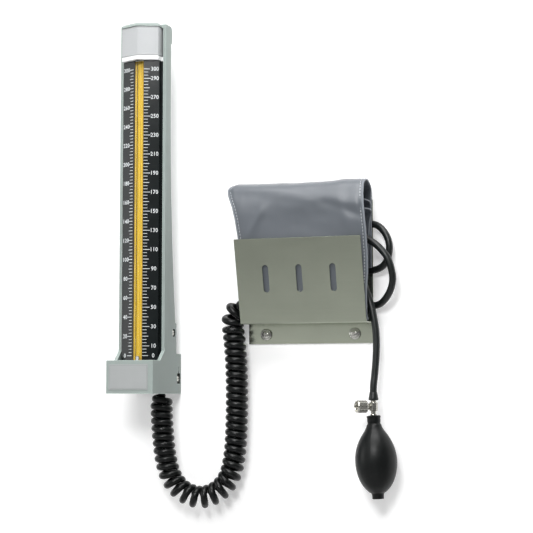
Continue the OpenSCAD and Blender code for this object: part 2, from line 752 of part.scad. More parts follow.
module bridge_screws()
  color("silver")
    for (z = bridge_screw_z)
      translate(at([0, column_back + back_wall + 2.5, z]))
        rotate([90, 0, 0]) pan_screw(4.6, 1.6, bridge_thread - 2 * running, 2.5 + back_wall - 0.4);

module clamp_screw()
  color([0.75, 0.76, 0.76])
    difference() {
      union() {
        bar_up([0, tube_axis, tube_top + seal_t + filter_t], clamp_thread, bridge_t + 3.4, 48);
        translate(at([0, tube_axis, bridge_z + bridge_t + 0.4]))
          linear_extrude(6)
            difference() {
              circle(d = 7.8, $fn = 48);
              for (a = [0:20:340]) rotate(a) translate([3.9, 0]) circle(d = 0.7, $fn = 14);
            }
      }
      bar_up([0, tube_axis, tube_top], 1.6, 40);
    }

module scale_clamp()
  color([0.95, 0.95, 0.95])
    difference() {
      plan_extrude(strip_z, strip_h)
        polygon(cap_outline(inner_w - fit, plate_edge - plate_t, plate_edge));
      bar_up([0, tube_axis, strip_z - 1], tube_od + 2 * fit, strip_h + 2, 48);
      plan_extrude(strip_z - 1, strip_h + 2)
        polygon([[-facet_out + 1, 0], [-facet_out + 1, plate_corner - 4], [-4.4, trough_floor - 3.4],
          [4.4, trough_floor - 3.4], [facet_out - 1, plate_corner - 4], [facet_out - 1, 0]]);
    }

module top_cap()
  color([0.86, 0.87, 0.87])
    difference() {
      plan_extrude(cap_z, cap_h)
        polygon(cap_outline(inner_w - fit, cap_back, cap_back + cap_t));
      plan_extrude(cap_z - 1, cap_h + 1 - cap_t)
        polygon(concat([[-cap_half + cap_t, 0]], cap_face(-cap_t), [[cap_half - cap_t, 0]]));
    }

// ---- reservoir ----

module reservoir_cup()
  color([0.45, 0.46, 0.47])
    difference() {
      plan_extrude(reservoir_z, cup_top - reservoir_z) reservoir_plan();
      plan_extrude(reservoir_z + reservoir_t, cup_top) reservoir_plan(-reservoir_t);
      bar_up([nozzle_x, nozzle_d, reservoir_z - 1], pipe_od + 2 * running, 10, 48);
      bar_out([0, reservoir_mid, feed_z], spigot_d + 2 * running, reservoir_d, 48);
    }

module reservoir_gasket()
  color([0.15, 0.15, 0.15])
    difference() {
      plan_extrude(cup_top, gasket_t) reservoir_plan();
      plan_extrude(cup_top - 1, gasket_t + 2) reservoir_plan(-reservoir_t);
    }

module reservoir_lid()
  color([0.5, 0.51, 0.52])
    plan_extrude(lid_z, lid_t) reservoir_plan();

module reservoir_clamp()
  color("silver")
    difference() {
      box([-inner_w + fit, reservoir_back + 1, clamp_z],
        [inner_w - fit, reservoir_back + 1 + clamp_depth, clamp_z + clamp_h]);
      bar_x([-half_w, reservoir_screw_d, clamp_screw_z], reservoir_thread, column_w);
      box([-inner_w + 9, reservoir_back, clamp_z + 3], [inner_w - 9, reservoir_back + 20, clamp_z + 20]);
    }

module reservoir_screws()
  color([0.9, 0.9, 0.88])
    both_sides()
      translate(at([half_w - sink_depth, reservoir_screw_d, clamp_screw_z]))
        rotate([0, 90, 0]) pan_screw(5.8, 1.5, reservoir_thread - 2 * running, side_wall + 4.3);

module feed_gasket()
  color([0.15, 0.15, 0.15])
    difference() {
      bar_out([0, reservoir_back + reservoir_d, feed_z], spigot_d + 2, gasket_t, 48);
      bar_out([0, reservoir_back + reservoir_d - 1, feed_z], spigot_d + 0.2, gasket_t + 2, 48);
    }

module air_pipe()
  color("silver")
    difference() {
      union() {
        bar_up([nozzle_x, nozzle_d, nozzle_z], pipe_od, pipe_top - nozzle_z, 48);
        bar_up([nozzle_x, nozzle_d, nozzle_z], 9, reservoir_z - nozzle_z, 48);
      }
      bar_up([nozzle_x, nozzle_d, nozzle_z - 1], pipe_bore, pipe_top - nozzle_z + 2, 48);
    }

module mercury_feed()
  color([0.6, 0.61, 0.63])
    union() {
      bar_up([0, tube_axis, feed_z], feed_bore - 0.2, tube_bottom - feed_z);
      bar_out([0, reservoir_back + reservoir_d - reservoir_t, feed_z], feed_bore - 0.2,
        tube_axis - reservoir_back - reservoir_d + reservoir_t);
    }

module pool_layer(z, h)
  difference() {
    plan_extrude(z, h) reservoir_plan(-reservoir_t - mercury_gap);
    bar_up([nozzle_x, nozzle_d, z - 1], pipe_od + 2 * mercury_gap, h + 2, 48);
  }
module mercury_pool()
  color([0.6, 0.61, 0.63])
    pool_layer(pool_z, scale_zero - pool_skin - pool_z);
module pool_surface()
  color([0.66, 0.67, 0.69])
    pool_layer(scale_zero - pool_skin, pool_skin);

module mercury_thread()
  color([0.6, 0.61, 0.63])
    bar_up([0, tube_axis, tube_bottom], mercury_d, scale_zero - meniscus_h - tube_bottom);
module mercury_meniscus()
  color([0.66, 0.67, 0.69])
    translate(at([0, tube_axis, scale_zero - meniscus_h]))
      rotate_extrude()
        polygon(concat(
          [[0, 0]],
          [for (i = [0:8]) let (a = i * 90 / 8) [mercury_d / 2 * cos(a), 0.4 + 0.6 * sin(a)]]
        ));

// ---- basket ----

module basket_back()
  color([0.6, 0.62, 0.56])
    difference() {
      box([basket_left, 0, basket_z], [basket_left + basket_w, sheet_t, basket_z + basket_h]);
      for (s = [-1, 1])
        bar_out([basket_x + s * screw_span / 2, -1, screw_z], screw_shank + 2 * running, sheet_t + 2, 48);
    }

module basket_front()
  color([0.6, 0.62, 0.56])
    difference() {
      side_extrude(basket_w, basket_x)
        polygon([
          [sheet_t, floor_z], [pocket_low - 1, floor_z], [pocket_low, floor_z + 1],
          [pocket_high, mouth_z], [pocket_high - sheet_t, mouth_z],
          [pocket_low - sheet_t, floor_z + sheet_t + 0.4], [2 * sheet_t, floor_z + sheet_t],
          [2 * sheet_t, floor_z + 12], [sheet_t, floor_z + 12]
        ]);
      for (s = [-1, 0, 1])
        translate([basket_x + s * slot_pitch, 0, 0]) {
          box([-slot_w / 2, pocket_low - 3, slot_z],
            [slot_w / 2, pocket_high + 3, slot_z + slot_len - slot_w]);
          for (z = [slot_z, slot_z + slot_len - slot_w]) bar_out([0, pocket_low - 3, z], slot_w, 30, 48);
        }
    }

module basket_screws()
  color([0.75, 0.75, 0.7])
    for (s = [-1, 1])
      translate(at([basket_x + s * screw_span / 2, sheet_t + washer_h * 0.55, screw_z]))
        rotate([90, 0, 0])
          pan_screw(8.2, 2.6, screw_shank, screw_embed + sheet_t + washer_h * 0.55,
            sheet_t + washer_h * 0.55 + neck_past);

module cup_washers()
  color([0.78, 0.78, 0.74])
    for (s = [-1, 1])
      translate(at([basket_x + s * screw_span / 2, sheet_t, screw_z]))
        rotate([90, 0, 0])
          rotate_extrude()
            polygon(concat(
              [[screw_shank / 2 + running, 0], [washer_d / 2, 0], [washer_d / 2, 0.6]],
              arc(washer_d / 2 - 1.6, 0.8, 1.6, 0, 100, 5),
              [[screw_shank / 2 + 2.4, washer_h * 0.55], [screw_shank / 2 + running, washer_h * 0.55]]
            ));

// ---- cuff ----

// Front of the folded cuff at height z: against the pocket's panel, then curving back.
function panel_in(z) = pocket_low - sheet_t + lean * (z - floor_z);
function cuff_front(z) = panel_in(z) - lookup((z - cuff_z) / cuff_h, crown);
function cuff_rear(z) = z < lane_top ? hose_lane : mix(hose_lane, sheet_t + 1.6, min(1, (z - lane_top) / 8));
// Outline of the cuff's side, moved in by t, with its fold at the given top.
function cuff_side(t, z0, top) = let (
  zb = cuff_z + cuff_bend * cuff_h - (cuff_top - top),
  f = cuff_front(zb) - t,
  r = cuff_rear(zb) + t
) concat(
  [for (i = [0:20]) let (z = mix(z0, zb, i / 20)) [cuff_front(z) - t, z]],
  [for (a = [12:12:168]) [(f + r) / 2 + (f - r) / 2 * cos(a), zb + (top - zb) * sin(a)]],
  [for (i = [0:20]) let (z = mix(zb, z0, i / 20)) [cuff_rear(z) + t, z]]
);

// Outline of the cuff seen from the front: its upper corners spread past the basket.
module cuff_front_view()
  polygon([
    [cuff_left + 7.8, cuff_z - 1], [cuff_right, cuff_z - 1], [cuff_right, cuff_top + 1],
    [cuff_left - 2, cuff_top + 1], [cuff_left - 3.5, cuff_top - 8], [cuff_left + 1.5, cuff_top - 28],
    [cuff_left + 7, cuff_top - 55], [cuff_left + 7.8, cuff_top - 75]
  ]);
module cuff_trim()
  intersection() {
    children();
    rotate([90, 0, 0]) linear_extrude(80) cuff_front_view();
  }

module cuff_outer()
  color([0.5, 0.54, 0.6])
    cuff_trim()
      difference() {
        side_extrude(cuff_w + 30, basket_x) polygon(cuff_side(0, cuff_z, cuff_top));
        side_extrude(cuff_w + 40, basket_x)
          polygon(cuff_side(cuff_t, cuff_z - 1, cuff_top - cuff_t));
      }

module cuff_inner()
  color([0.46, 0.5, 0.56])
    difference() {
      intersection() {
        side_extrude(cuff_w - 18, basket_x - 2)
          polygon(cuff_side(cuff_t + cuff_gap, cuff_z, inner_top));
        rotate([90, 0, 0]) linear_extrude(80)
          polygon([
            [basket_x - cuff_w / 2, cuff_z], [basket_x + inner_right, cuff_z],
            [basket_x + inner_right, inner_top + 1], [basket_x - cuff_w / 2, inner_top + 1]
          ]);
      }
      bladder_space(0.2);
    }

module bladder_space(g)
  box([basket_left + 12 - g, bladder_back - g, cuff_z + 6 - g],
    [basket_x + inner_right - 6 + g, bladder_back + bladder_t + g, cuff_z + 92 + g]);
module cuff_bladder()
  color([0.15, 0.15, 0.16])
    bladder_space(0);

module hook_patch()
  color([0.3, 0.32, 0.36])
    box([basket_x - 18, hose_lane - patch_t, cuff_z + 9], [basket_x + 28, hose_lane, cuff_z + 61]);

module cuff_hose()
  color([0.13, 0.13, 0.14])
    swept_tube([for (p = cuff_hose_route) at(p)], hose_d);

module bulb_port()
  color([0.15, 0.15, 0.16])
    translate([basket_x + inner_right, at(bulb_hose_route[0])[1], bulb_hose_route[0][2]])
      difference() {
        bar_x([0, 0, 0], port_d, port_len, 48);
        bar_x([-1, 0, 0], hose_d + 0.1, port_len + 2, 48);
      }

// Places its children at p with +Z along v.
module orient(p, v)
  translate(p)
    rotate([0, acos(v[2] / norm(v)), atan2(v[1], v[0])])
      children();

// The plug and the socket that join the coiled hose to the cuff's hose, behind the cuff.
module hose_socket()
  color([0.25, 0.25, 0.26])
    orient(joint_a, joint_b - joint_a)
      translate([0, 0, joint_gap])
        cylinder(d = connector_d, h = joint_len * joint_split - joint_gap);
module hose_plug()
  color([0.7, 0.71, 0.71])
    orient(joint_b, joint_a - joint_b)
      translate([0, 0, joint_gap])
        union() {
          cylinder(d = connector_d, h = joint_len * (1 - joint_split) - 4);
          cylinder(d = connector_d - 1.4, h = joint_len * (1 - joint_split) - joint_gap);
        }

// ---- bulb hose, valve and bulb ----

module bulb_hose()
  color([0.13, 0.13, 0.14])
    swept_tube([for (p = bulb_hose_route) at(p)], hose_d);

module hose_sleeve()
  color([0.1, 0.1, 0.1])
    difference() {
      bar_up([valve_top[0], valve_top[1], valve_top[2] - sleeve_h], sleeve_d, sleeve_h, 48);
      bar_up([valve_top[0], valve_top[1], valve_top[2] - sleeve_h - 1], stem_d - 1.2, sleeve_h, 48);
    }

// Places its children at the hub with +Z along the knob's axis.
module at_knob()
  translate(at([valve_top[0], valve_top[1], hub_z]))
    rotate([0, 0, knob_turn])
      rotate([0, -90, 0])
        children();

module valve_body()
  color([0.82, 0.82, 0.82])
    difference() {
      union() {
        bar_up([valve_top[0], valve_top[1], bulb_z - 4], stem_d, stem_len + 4, 48);
        bar_up([valve_top[0], valve_top[1], hub_z - hub_d / 2], hub_d, hub_d, 48);
        at_knob() cylinder(d = 6.4, h = hub_d / 2 + knob_gap);
        bar_up([valve_top[0], valve_top[1], bulb_z + collar_gap], collar_d, collar_h, 48);
      }
      bar_up([valve_top[0], valve_top[1], bulb_z - 5], 2.4, stem_len + 20);
      at_knob() cylinder(d = seat_d, h = 30);
    }

module valve_needle()
  color([0.72, 0.7, 0.6])
    at_knob()
      translate([0, 0, 1.6])
        union() {
          cylinder(d = needle_d, h = hub_d / 2 + knob_gap - 1.8);
          translate([0, 0, 3.2]) cylinder(d = seat_d - 2 * running, h = 1.2);
        }

module valve_knob()
  color([0.84, 0.84, 0.84])
    at_knob()
      translate([0, 0, hub_d / 2 + knob_gap + running])
        difference() {
          linear_extrude(knob_len)
            difference() {
              circle(d = knob_d, $fn = 64);
              for (a = [0:15:345]) rotate(a) translate([knob_d / 2, 0]) circle(d = 0.9, $fn = 14);
            }
          translate([0, 0, knob_len - 2.4]) cylinder(d = knob_d - 3, h = 3);
          translate([0, 0, knob_len - 5]) cylinder(d = 3, h = 6);
        }

// Outer radius of the bulb at a share s of its length, from its neck to its tip.
bulb_shape = [
  [0, 0.33], [0.1, 0.34], [0.17, 0.44], [0.26, 0.68], [0.36, 0.87], [0.46, 0.97], [0.56, 1],
  [0.66, 0.96], [0.76, 0.85], [0.85, 0.66], [0.91, 0.44], [0.935, 0.31], [0.97, 0.28], [1, 0.28]
];
module bulb_profile(t, s0, s1)
  polygon(concat(
    [[0, -s0 * bulb_len]],
    [for (i = [0:30]) let (s = mix(s0, s1, i / 30)) [lookup(s, bulb_shape) * bulb_d / 2 - t, -s * bulb_len]],
    [[0, -s1 * bulb_len]]
  ));

module at_bulb()
  translate(at([valve_top[0], valve_top[1], bulb_z]))
    rotate([0, -bulb_lean, 0])
      children();

module bulb()
  color([0.1, 0.1, 0.11])
    difference() {
      at_bulb()
        difference() {
          rotate_extrude($fn = 72) bulb_profile(0, 0, 1);
          rotate_extrude($fn = 48) bulb_profile(bulb_t, 0.16, 0.9);
          translate([0, 0, -bulb_len * 0.17]) cylinder(d = 5, h = 30);
          translate([0, 0, -bulb_len - 1]) cylinder(d = 8.2, h = 14);
        }
      bar_up([valve_top[0], valve_top[1], bulb_z - 4.5], stem_d + 0.1, 8, 48);
    }

module inlet_valve()
  color("silver")
    at_bulb()
      difference() {
        translate([0, 0, -bulb_len]) cylinder(d = 8, h = 10);
        translate([0, 0, -bulb_len - 1]) cylinder(d = 2.4, h = 20);
        translate([0, 0, -bulb_len + 2]) cylinder(d = cage_bore, h = 5.6);
      }

module inlet_ball()
  color([0.85, 0.85, 0.85])
    at_bulb()
      translate([0, 0, ball_z]) sphere(d = ball_d, $fn = 32);

wall_bracket();
housing();
hook_screws();
base_cover();
base_cover_screws();
label_plate();
scale_plate();
tube_backing();
glass_tube();
tube_foot();
lower_seal();
upper_seal();
vent_filter();
clamp_bridge();
bridge_screws();
clamp_screw();
scale_clamp();
top_cap();
reservoir_cup();
reservoir_gasket();
reservoir_lid();
reservoir_clamp();
reservoir_screws();
feed_gasket();
air_pipe();
mercury_feed();
mercury_pool();
pool_surface();
mercury_thread();
mercury_meniscus();
basket_back();
basket_front();
basket_screws();
cup_washers();
cuff_outer();
cuff_inner();
cuff_bladder();
hook_patch();
coiled_hose();
hose_socket();
hose_plug();
cuff_hose();
bulb_port();
bulb_hose();
hose_sleeve();
valve_body();
valve_needle();
valve_knob();
bulb();
inlet_valve();
inlet_ball();
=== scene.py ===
"""Visual model of a wall-mounted mercury sphygmomanometer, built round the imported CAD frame."""
import json
import math

import bmesh
import bpy
import numpy as np
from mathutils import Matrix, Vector, noise


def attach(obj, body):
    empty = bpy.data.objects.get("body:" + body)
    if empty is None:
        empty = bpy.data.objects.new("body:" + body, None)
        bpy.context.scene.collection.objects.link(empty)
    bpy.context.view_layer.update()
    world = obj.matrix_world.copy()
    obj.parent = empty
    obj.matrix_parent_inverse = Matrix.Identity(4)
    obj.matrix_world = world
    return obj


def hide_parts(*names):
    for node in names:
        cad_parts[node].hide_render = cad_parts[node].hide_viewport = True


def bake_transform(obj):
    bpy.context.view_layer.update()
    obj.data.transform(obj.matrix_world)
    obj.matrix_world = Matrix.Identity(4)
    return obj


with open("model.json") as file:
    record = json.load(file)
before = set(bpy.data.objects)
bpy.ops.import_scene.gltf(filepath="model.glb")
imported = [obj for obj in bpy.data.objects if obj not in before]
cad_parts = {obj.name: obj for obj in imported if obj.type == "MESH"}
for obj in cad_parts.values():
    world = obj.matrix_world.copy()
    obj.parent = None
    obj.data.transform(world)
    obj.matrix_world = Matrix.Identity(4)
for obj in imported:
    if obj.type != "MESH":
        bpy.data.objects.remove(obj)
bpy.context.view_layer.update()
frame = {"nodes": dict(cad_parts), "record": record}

MM = 0.001
UP = (0, 0, 1)
slot_of = {s["node"]: s["material_slot"] for s in frame["record"]["subparts"]}


def at(x, d, z):
    """A place given as x, distance in front of the wall and height, in millimetres."""
    return Vector((x, -d, z)) * MM


def mix(a, b, t):
    return a + (b - a) * t


def smooth(t):
    """0 to 1 with a soft start and end."""
    t = min(max(t, 0.0), 1.0)
    return t * t * (3 - 2 * t)


def lookup(x, table):
    """The value at x on the line through a table of [x, value] pairs."""
    xs, ys = zip(*table)
    return float(np.interp(x, xs, ys))


def run_along(points):
    """Distance along a line from its first point to each of its points."""
    return np.concatenate(([0], np.cumsum(np.linalg.norm(np.diff(points, axis=0), axis=1))))


# ---------------- camera

# It stands to the right of the set and below its middle, and looks left and slightly up.
YAW, PITCH = math.radians(19), math.radians(4.72)
camera = bpy.data.objects.new("camera", bpy.data.cameras.new("camera"))
camera.data.sensor_width = 36
camera.data.lens = 104.35
camera.location = (0.63345, -1.49263, -0.02078)
look = Vector((-math.sin(YAW) * math.cos(PITCH), math.cos(YAW) * math.cos(PITCH), math.sin(PITCH)))
camera.rotation_euler = look.to_track_quat("-Z", "Y").to_euler()
bpy.context.scene.collection.objects.link(camera)
bpy.context.scene.camera = camera


# ---------------- materials

def feed(tree, socket, value):
    """Links an output to an input socket, or gives the socket a plain value."""
    if isinstance(value, bpy.types.NodeSocket):
        tree.links.new(value, socket)
    else:
        socket.default_value = value


def math_node(tree, kind, a, b=0.0):
    n = tree.nodes.new("ShaderNodeMath")
    n.operation = kind
    for i, value in enumerate((a, b)):
        feed(tree, n.inputs[i], value)
    return n.outputs[0]


class Graph:
    """A node material with one Principled shader, built up by short calls."""

    def __init__(self, name):
        self.material = bpy.data.materials.new(name)
        self.material.use_nodes = True
        self.tree = self.material.node_tree
        self.shader = self.tree.nodes["Principled BSDF"]
        self.coords = self.tree.nodes.new("ShaderNodeTexCoord")

    def set(self, **values):
        for key, value in values.items():
            self.shader.inputs[key.replace("_", " ")].default_value = value

    def node(self, kind, **settings):
        n = self.tree.nodes.new(kind)
        for key, value in settings.items():
            setattr(n, key, value)
        return n

    def link(self, a, b):
        self.tree.links.new(a, b)

    def noise(self, scale, detail=3.0, rough=0.5, stretch=(1, 1, 1), source="Object"):
        place = self.node("ShaderNodeMapping")
        place.inputs["Scale"].default_value = stretch
        self.link(self.coords.outputs[source], place.inputs["Vector"])
        n = self.node("ShaderNodeTexNoise")
        n.inputs["Scale"].default_value = scale
        n.inputs["Detail"].default_value = detail
        n.inputs["Roughness"].default_value = rough
        self.link(place.outputs["Vector"], n.inputs["Vector"])
        return n.outputs["Fac"]

    def spread(self, value, low, high, a=0.3, b=0.7):
        """Takes a value between a and b to the range from low to high."""
        n = self.node("ShaderNodeMapRange")
        for key, v in (("From Min", a), ("From Max", b), ("To Min", low), ("To Max", high)):
            n.inputs[key].default_value = v
        self.link(value, n.inputs["Value"])
        return n.outputs["Result"]

    def math(self, kind, a, b=0.0):
        return math_node(self.tree, kind, a, b)

    def blend(self, factor, a, b):
        """Mixes two colours, which are the node's inputs 6 and 7 with output 2 as the result."""
        n = self.node("ShaderNodeMix", data_type="RGBA")
        for key, value in ((0, factor), (6, a), (7, b)):
            feed(self.tree, n.inputs[key], value)
        return n.outputs[2]

    def colour(self, value):
        self.link(value, self.shader.inputs["Base Color"])

    def rough(self, value):
        self.link(value, self.shader.inputs["Roughness"])

    def bump(self, height, strength=0.3, distance=0.0002):
        n = self.node("ShaderNodeBump")
        n.inputs["Strength"].default_value = strength
        n.inputs["Distance"].default_value = distance
        self.link(height, n.inputs["Height"])
        self.link(n.outputs["Normal"], self.shader.inputs["Normal"])


DUST = (0.22, 0.23, 0.23, 1)
HIGHLIGHT_REACH, HIGHLIGHT_TONE = 0.0013, 2.1    # how far in from an edge the enamel is paler as a painted highlight, and how much


def tone(colour, k):
    """A colour made paler or darker by a factor."""
    return tuple(min(1.0, c * k) for c in colour[:3]) + (1.0,)


def varied(name, colour, rough, spread=0.06, scale=60, grain=1500, bump=0.12, depth=0.00005, metallic=0.0,
           stretch=(1, 1, 1), **more):
    """Colour and roughness that drift over the surface, with a fine grain."""
    g = Graph(name)
    g.set(Metallic=metallic, **more)
    drift = g.spread(g.noise(scale, 4), 0.0, 1.0)
    g.colour(g.blend(drift, tone(colour, 1 - spread), tone(colour, 1 + spread)))
    fine = g.noise(grain, 3, 0.6, stretch)
    g.rough(g.spread(fine, rough[0], rough[1]))
    g.bump(fine, bump, depth)
    return g.material


def painted(name, colour, rough=(0.32, 0.42), **more):
    """Stove enamel: fine orange peel, specks in the film, and paler along the edges as a painted highlight.
    """
    g = Graph(name)
    g.set(**more)
    drift = g.spread(g.noise(14, 4), 0.0, 1.0)
    base = g.blend(drift, tone(colour, 0.97), tone(colour, 1.03))
    bevel = g.node("ShaderNodeBevel", samples=4)
    bevel.inputs["Radius"].default_value = HIGHLIGHT_REACH
    geometry = g.node("ShaderNodeNewGeometry")
    dot = g.node("ShaderNodeVectorMath", operation="DOT_PRODUCT")
    g.link(bevel.outputs["Normal"], dot.inputs[0])
    g.link(geometry.outputs["Normal"], dot.inputs[1])
    # Near an edge the bevelled normal turns from the face's own; there the colour is paler, a painted
    # highlight.
    edge = g.spread(dot.outputs["Value"], 1.0, 0.0, 0.72, 0.97)
    speck = g.spread(g.noise(420, 2, 0.7), 0.0, 0.14, 0.66, 0.8)
    base = g.blend(edge, base, tone(colour, HIGHLIGHT_TONE))
    base = g.blend(speck, base, tone(colour, 0.6))
    g.colour(base)
    peel = g.noise(900, 2, 0.4)
    g.rough(g.spread(peel, rough[0], rough[1]))
    g.bump(peel, 0.1, 0.00004)
    return g.material


def steel(name, colour, rough=(0.2, 0.3), stretch=(30, 30, 1200), scale=1.0, depth=0.00001, **more):
    """Sheet steel with a fine brushed grain along one direction and faint cloudy handling marks."""
    g = Graph(name)
    g.set(Metallic=1.0, **more)
    grain = g.noise(scale, 3, 0.6, stretch)
    cloud = g.spread(g.noise(22, 3), 0.0, 1.0)
    base = g.blend(cloud, tone(colour, 0.95), tone(colour, 1.04))
    base = g.blend(g.spread(grain, 0.0, 0.25), base, tone(colour, 0.82))
    g.colour(base)
    level = g.math("ADD", g.spread(grain, rough[0], rough[1]), g.spread(g.noise(35, 2), -0.03, 0.03))
    g.rough(level)
    g.bump(grain, 0.15, depth)
    return g.material


def rubber(name, colour, rough=(0.34, 0.46), dust=0.08, **more):
    """Moulded rubber with a satin skin, a little bloom and fine pores."""
    g = Graph(name)
    g.set(**more)
    bloom = g.spread(g.noise(45, 5, 0.6), 0.0, 1.0, 0.35, 0.75)
    base = g.blend(bloom, tone(colour, 0.85), tone(colour, 1.15))
    base = g.blend(g.spread(g.noise(260, 3, 0.7), 0.0, dust, 0.55, 0.8), base, DUST)
    g.colour(base)
    pores = g.noise(2200, 2, 0.6)
    g.rough(g.spread(g.noise(120, 3), rough[0], rough[1]))
    g.bump(pores, 0.12, 0.00004)
    return g.material


def cloth(name, colour, pitch=0.0005, sheen=0.35, rough=0.55, shine=0.5):
    """Woven nylon: fine plain weave from UVs in metres, satin sheen, soft colour drift."""
    g = Graph(name)
    g.set(Sheen_Weight=sheen, Sheen_Roughness=0.4, Roughness=rough, Specular_IOR_Level=shine)
    place = g.node("ShaderNodeMapping")
    place.inputs["Scale"].default_value = (1 / pitch, 1 / pitch, 1)
    g.link(g.coords.outputs["UV"], place.inputs["Vector"])
    parts = g.node("ShaderNodeSeparateXYZ")
    g.link(place.outputs["Vector"], parts.inputs["Vector"])
    warp = g.math("ABSOLUTE", g.math("SINE", g.math("MULTIPLY", parts.outputs["X"], math.pi)))
    weft = g.math("ABSOLUTE", g.math("SINE", g.math("MULTIPLY", parts.outputs["Y"], math.pi)))
    weave = g.math("MULTIPLY", warp, weft)
    yarn = g.noise(5, 2, 0.7, (1 / pitch / 60, 1 / pitch / 4, 1), "UV")
    drift = g.spread(g.noise(16, 3), 0.0, 1.0)
    base = g.blend(drift, tone(colour, 0.96), tone(colour, 1.04))
    base = g.blend(g.spread(weave, 0.28, 0.0, 0.0, 0.8), base, tone(colour, 0.72))
    base = g.blend(g.spread(yarn, 0.0, 0.2), base, tone(colour, 1.14))
    g.colour(base)
    g.bump(weave, 0.35, 0.00008)
    return g.material


MAT = {
    "housing": painted("enamel_grey_green", (0.305, 0.352, 0.334, 1), rough=(0.38, 0.48),
                       Specular_IOR_Level=0.22),
    # near-black for the screw recesses in the base: painted shade
    "hollow": varied("recess_painted_shade", (0.05, 0.055, 0.05), (0.6, 0.75), spread=0.3, scale=200),
    "cover": painted("enamel_cover", (0.3, 0.34, 0.32, 1)),
    "cap": painted("cap_silver", (0.43, 0.442, 0.45, 1), rough=(0.4, 0.48), Specular_IOR_Level=0.3),
    "clamp": varied("clamp_white", (0.74, 0.75, 0.75), (0.25, 0.33), spread=0.02),
    "black": varied("scale_black", (0.0095, 0.012, 0.0125), (0.15, 0.2), spread=0.15,
                    Specular_IOR_Level=0.21),
    "white_ink": varied("white_ink", (0.66, 0.69, 0.70), (0.4, 0.5), spread=0.05, scale=300, grain=4000),
    "yellow": varied("scale_yellow", (0.46, 0.285, 0.008), (0.45, 0.55), spread=0.05, scale=120),
    "basket": steel("basket_steel", (0.49, 0.525, 0.43), rough=(0.17, 0.25), stretch=(8, 8, 900)),
    "zinc": steel("bracket_zinc", (0.55, 0.56, 0.56), rough=(0.3, 0.42)),
    "screw": steel("screw_steel", (0.62, 0.62, 0.58), rough=(0.18, 0.28), stretch=(60, 60, 60), scale=12),
    "label": varied("label_silver", (0.36, 0.375, 0.375), (0.42, 0.5), spread=0.03, metallic=0.1, grain=1,
                    stretch=(6, 6, 1500), bump=0.08, depth=0.00001),
    "label_line": varied("label_line", (0.27, 0.29, 0.285), (0.5, 0.6), spread=0.08),
    "machined": steel("machined_steel", (0.5, 0.51, 0.52), rough=(0.25, 0.35)),
    "chrome": steel("chrome_plate", (0.5, 0.49, 0.45), rough=(0.2, 0.28), stretch=(20, 20, 20), scale=20),
    "brass": steel("needle_brass", (0.62, 0.5, 0.26), rough=(0.2, 0.3), stretch=(60, 60, 60), scale=12),
    "mercury": steel("mercury", (0.66, 0.67, 0.69), rough=(0.04, 0.07), stretch=(3, 3, 3), scale=10),
    "seal": rubber("seal_rubber", (0.02, 0.02, 0.02)),
    "leather": varied("filter_leather", (0.5, 0.38, 0.2), (0.7, 0.8), spread=0.15, bump=0.5, depth=0.0002),
    "coil": rubber("coil_rubber", (0.0035, 0.0042, 0.0042), rough=(0.26, 0.34), dust=0.015,
                   Specular_IOR_Level=0.26),
    "hose": rubber("hose_rubber", (0.007, 0.0095, 0.009), rough=(0.32, 0.42), dust=0.03,
                   Specular_IOR_Level=0.4),
    "bulb": rubber("bulb_rubber", (0.0035, 0.0045, 0.0045), rough=(0.36, 0.44), dust=0.02,
                   Specular_IOR_Level=0.24),
    "port": rubber("port_rubber", (0.02, 0.02, 0.02)),
    "plastic": varied("socket_plastic", (0.03, 0.03, 0.03), (0.4, 0.5), spread=0.1),
    "cuff": cloth("cuff_nylon", (0.083, 0.097, 0.115, 1), sheen=0.6, rough=0.46, shine=1.0),
    "cuff_inside": cloth("cuff_lining", (0.085, 0.098, 0.118, 1), sheen=0.06),
    "piping": cloth("cuff_piping", (0.21, 0.23, 0.255, 1), pitch=0.0006, sheen=0.1),
    "thread": varied("stitch_thread", (0.62, 0.64, 0.66), (0.6, 0.7), spread=0.1, scale=400),
    "pile": varied("hook_pile", (0.05, 0.055, 0.07), (0.8, 0.95), spread=0.2, grain=2500, bump=1.0,
                   depth=0.0006),
}


def glass_material():
    """Clear glass with a low index, so that what lies behind shows nearly straight."""
    g = Graph("tube_glass")
    g.set(Transmission_Weight=1.0, IOR=1.14, Base_Color=(0.99, 1.0, 0.99, 1), Specular_IOR_Level=0.3)
    g.rough(g.spread(g.noise(60, 2), 0.0, 0.015))
    return g.material


MAT["glass"] = glass_material()


# ---------------- mesh helpers

def add_object(name, mesh, material, body=None, replaced=(), slot=None, shade=30):
    """Links a mesh as a piece: its material, the body it rides on and the nodes it replaces; slot is not
    used.
    """
    obj = bpy.data.objects.new(name, mesh)
    bpy.context.scene.collection.objects.link(obj)
    mesh.materials.clear()
    mesh.materials.append(material)
    if shade:
        mesh.shade_smooth()
        mesh.set_sharp_from_angle(angle=math.radians(shade))
    if body:
        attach(obj, body)
    if replaced:
        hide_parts(*replaced)
    return obj


def mesh_from(name, verts, faces, uvs=None):
    """A mesh from vertices, faces and, where given, one UV pair per vertex."""
    mesh = bpy.data.meshes.new(name)
    mesh.from_pydata([tuple(v) for v in verts], [], faces)
    if uvs is not None:
        layer = mesh.uv_layers.new(name="uv")
        index = np.empty(len(mesh.loops), dtype=np.int32)
        mesh.loops.foreach_get("vertex_index", index)
        layer.data.foreach_set("uv", np.asarray(uvs, dtype=np.float32)[index].ravel())
    mesh.validate()
    mesh.update()
    return mesh


def piece(name, data, *look, **more):
    """A piece from vertices, faces and perhaps UVs. The rest is as for add_object()."""
    return add_object(name, mesh_from(name, *data), *look, **more)


def spline(points, per):
    """Catmull-Rom curve through the points, with a number of steps per stretch."""
    p = np.array(points, float)
    n = len(p)
    out = []
    for i in range(n - 1):
        a, b, c, d = p[max(i - 1, 0)], p[i], p[i + 1], p[min(i + 2, n - 1)]
        for k in range(per):
            t = k / per
            out.append(0.5 * (2 * b + (c - a) * t + (2 * a - 5 * b + 4 * c - d) * t * t
                              + (3 * b - a - 3 * c + d) * t ** 3))
    out.append(p[-1])
    return np.array(out)


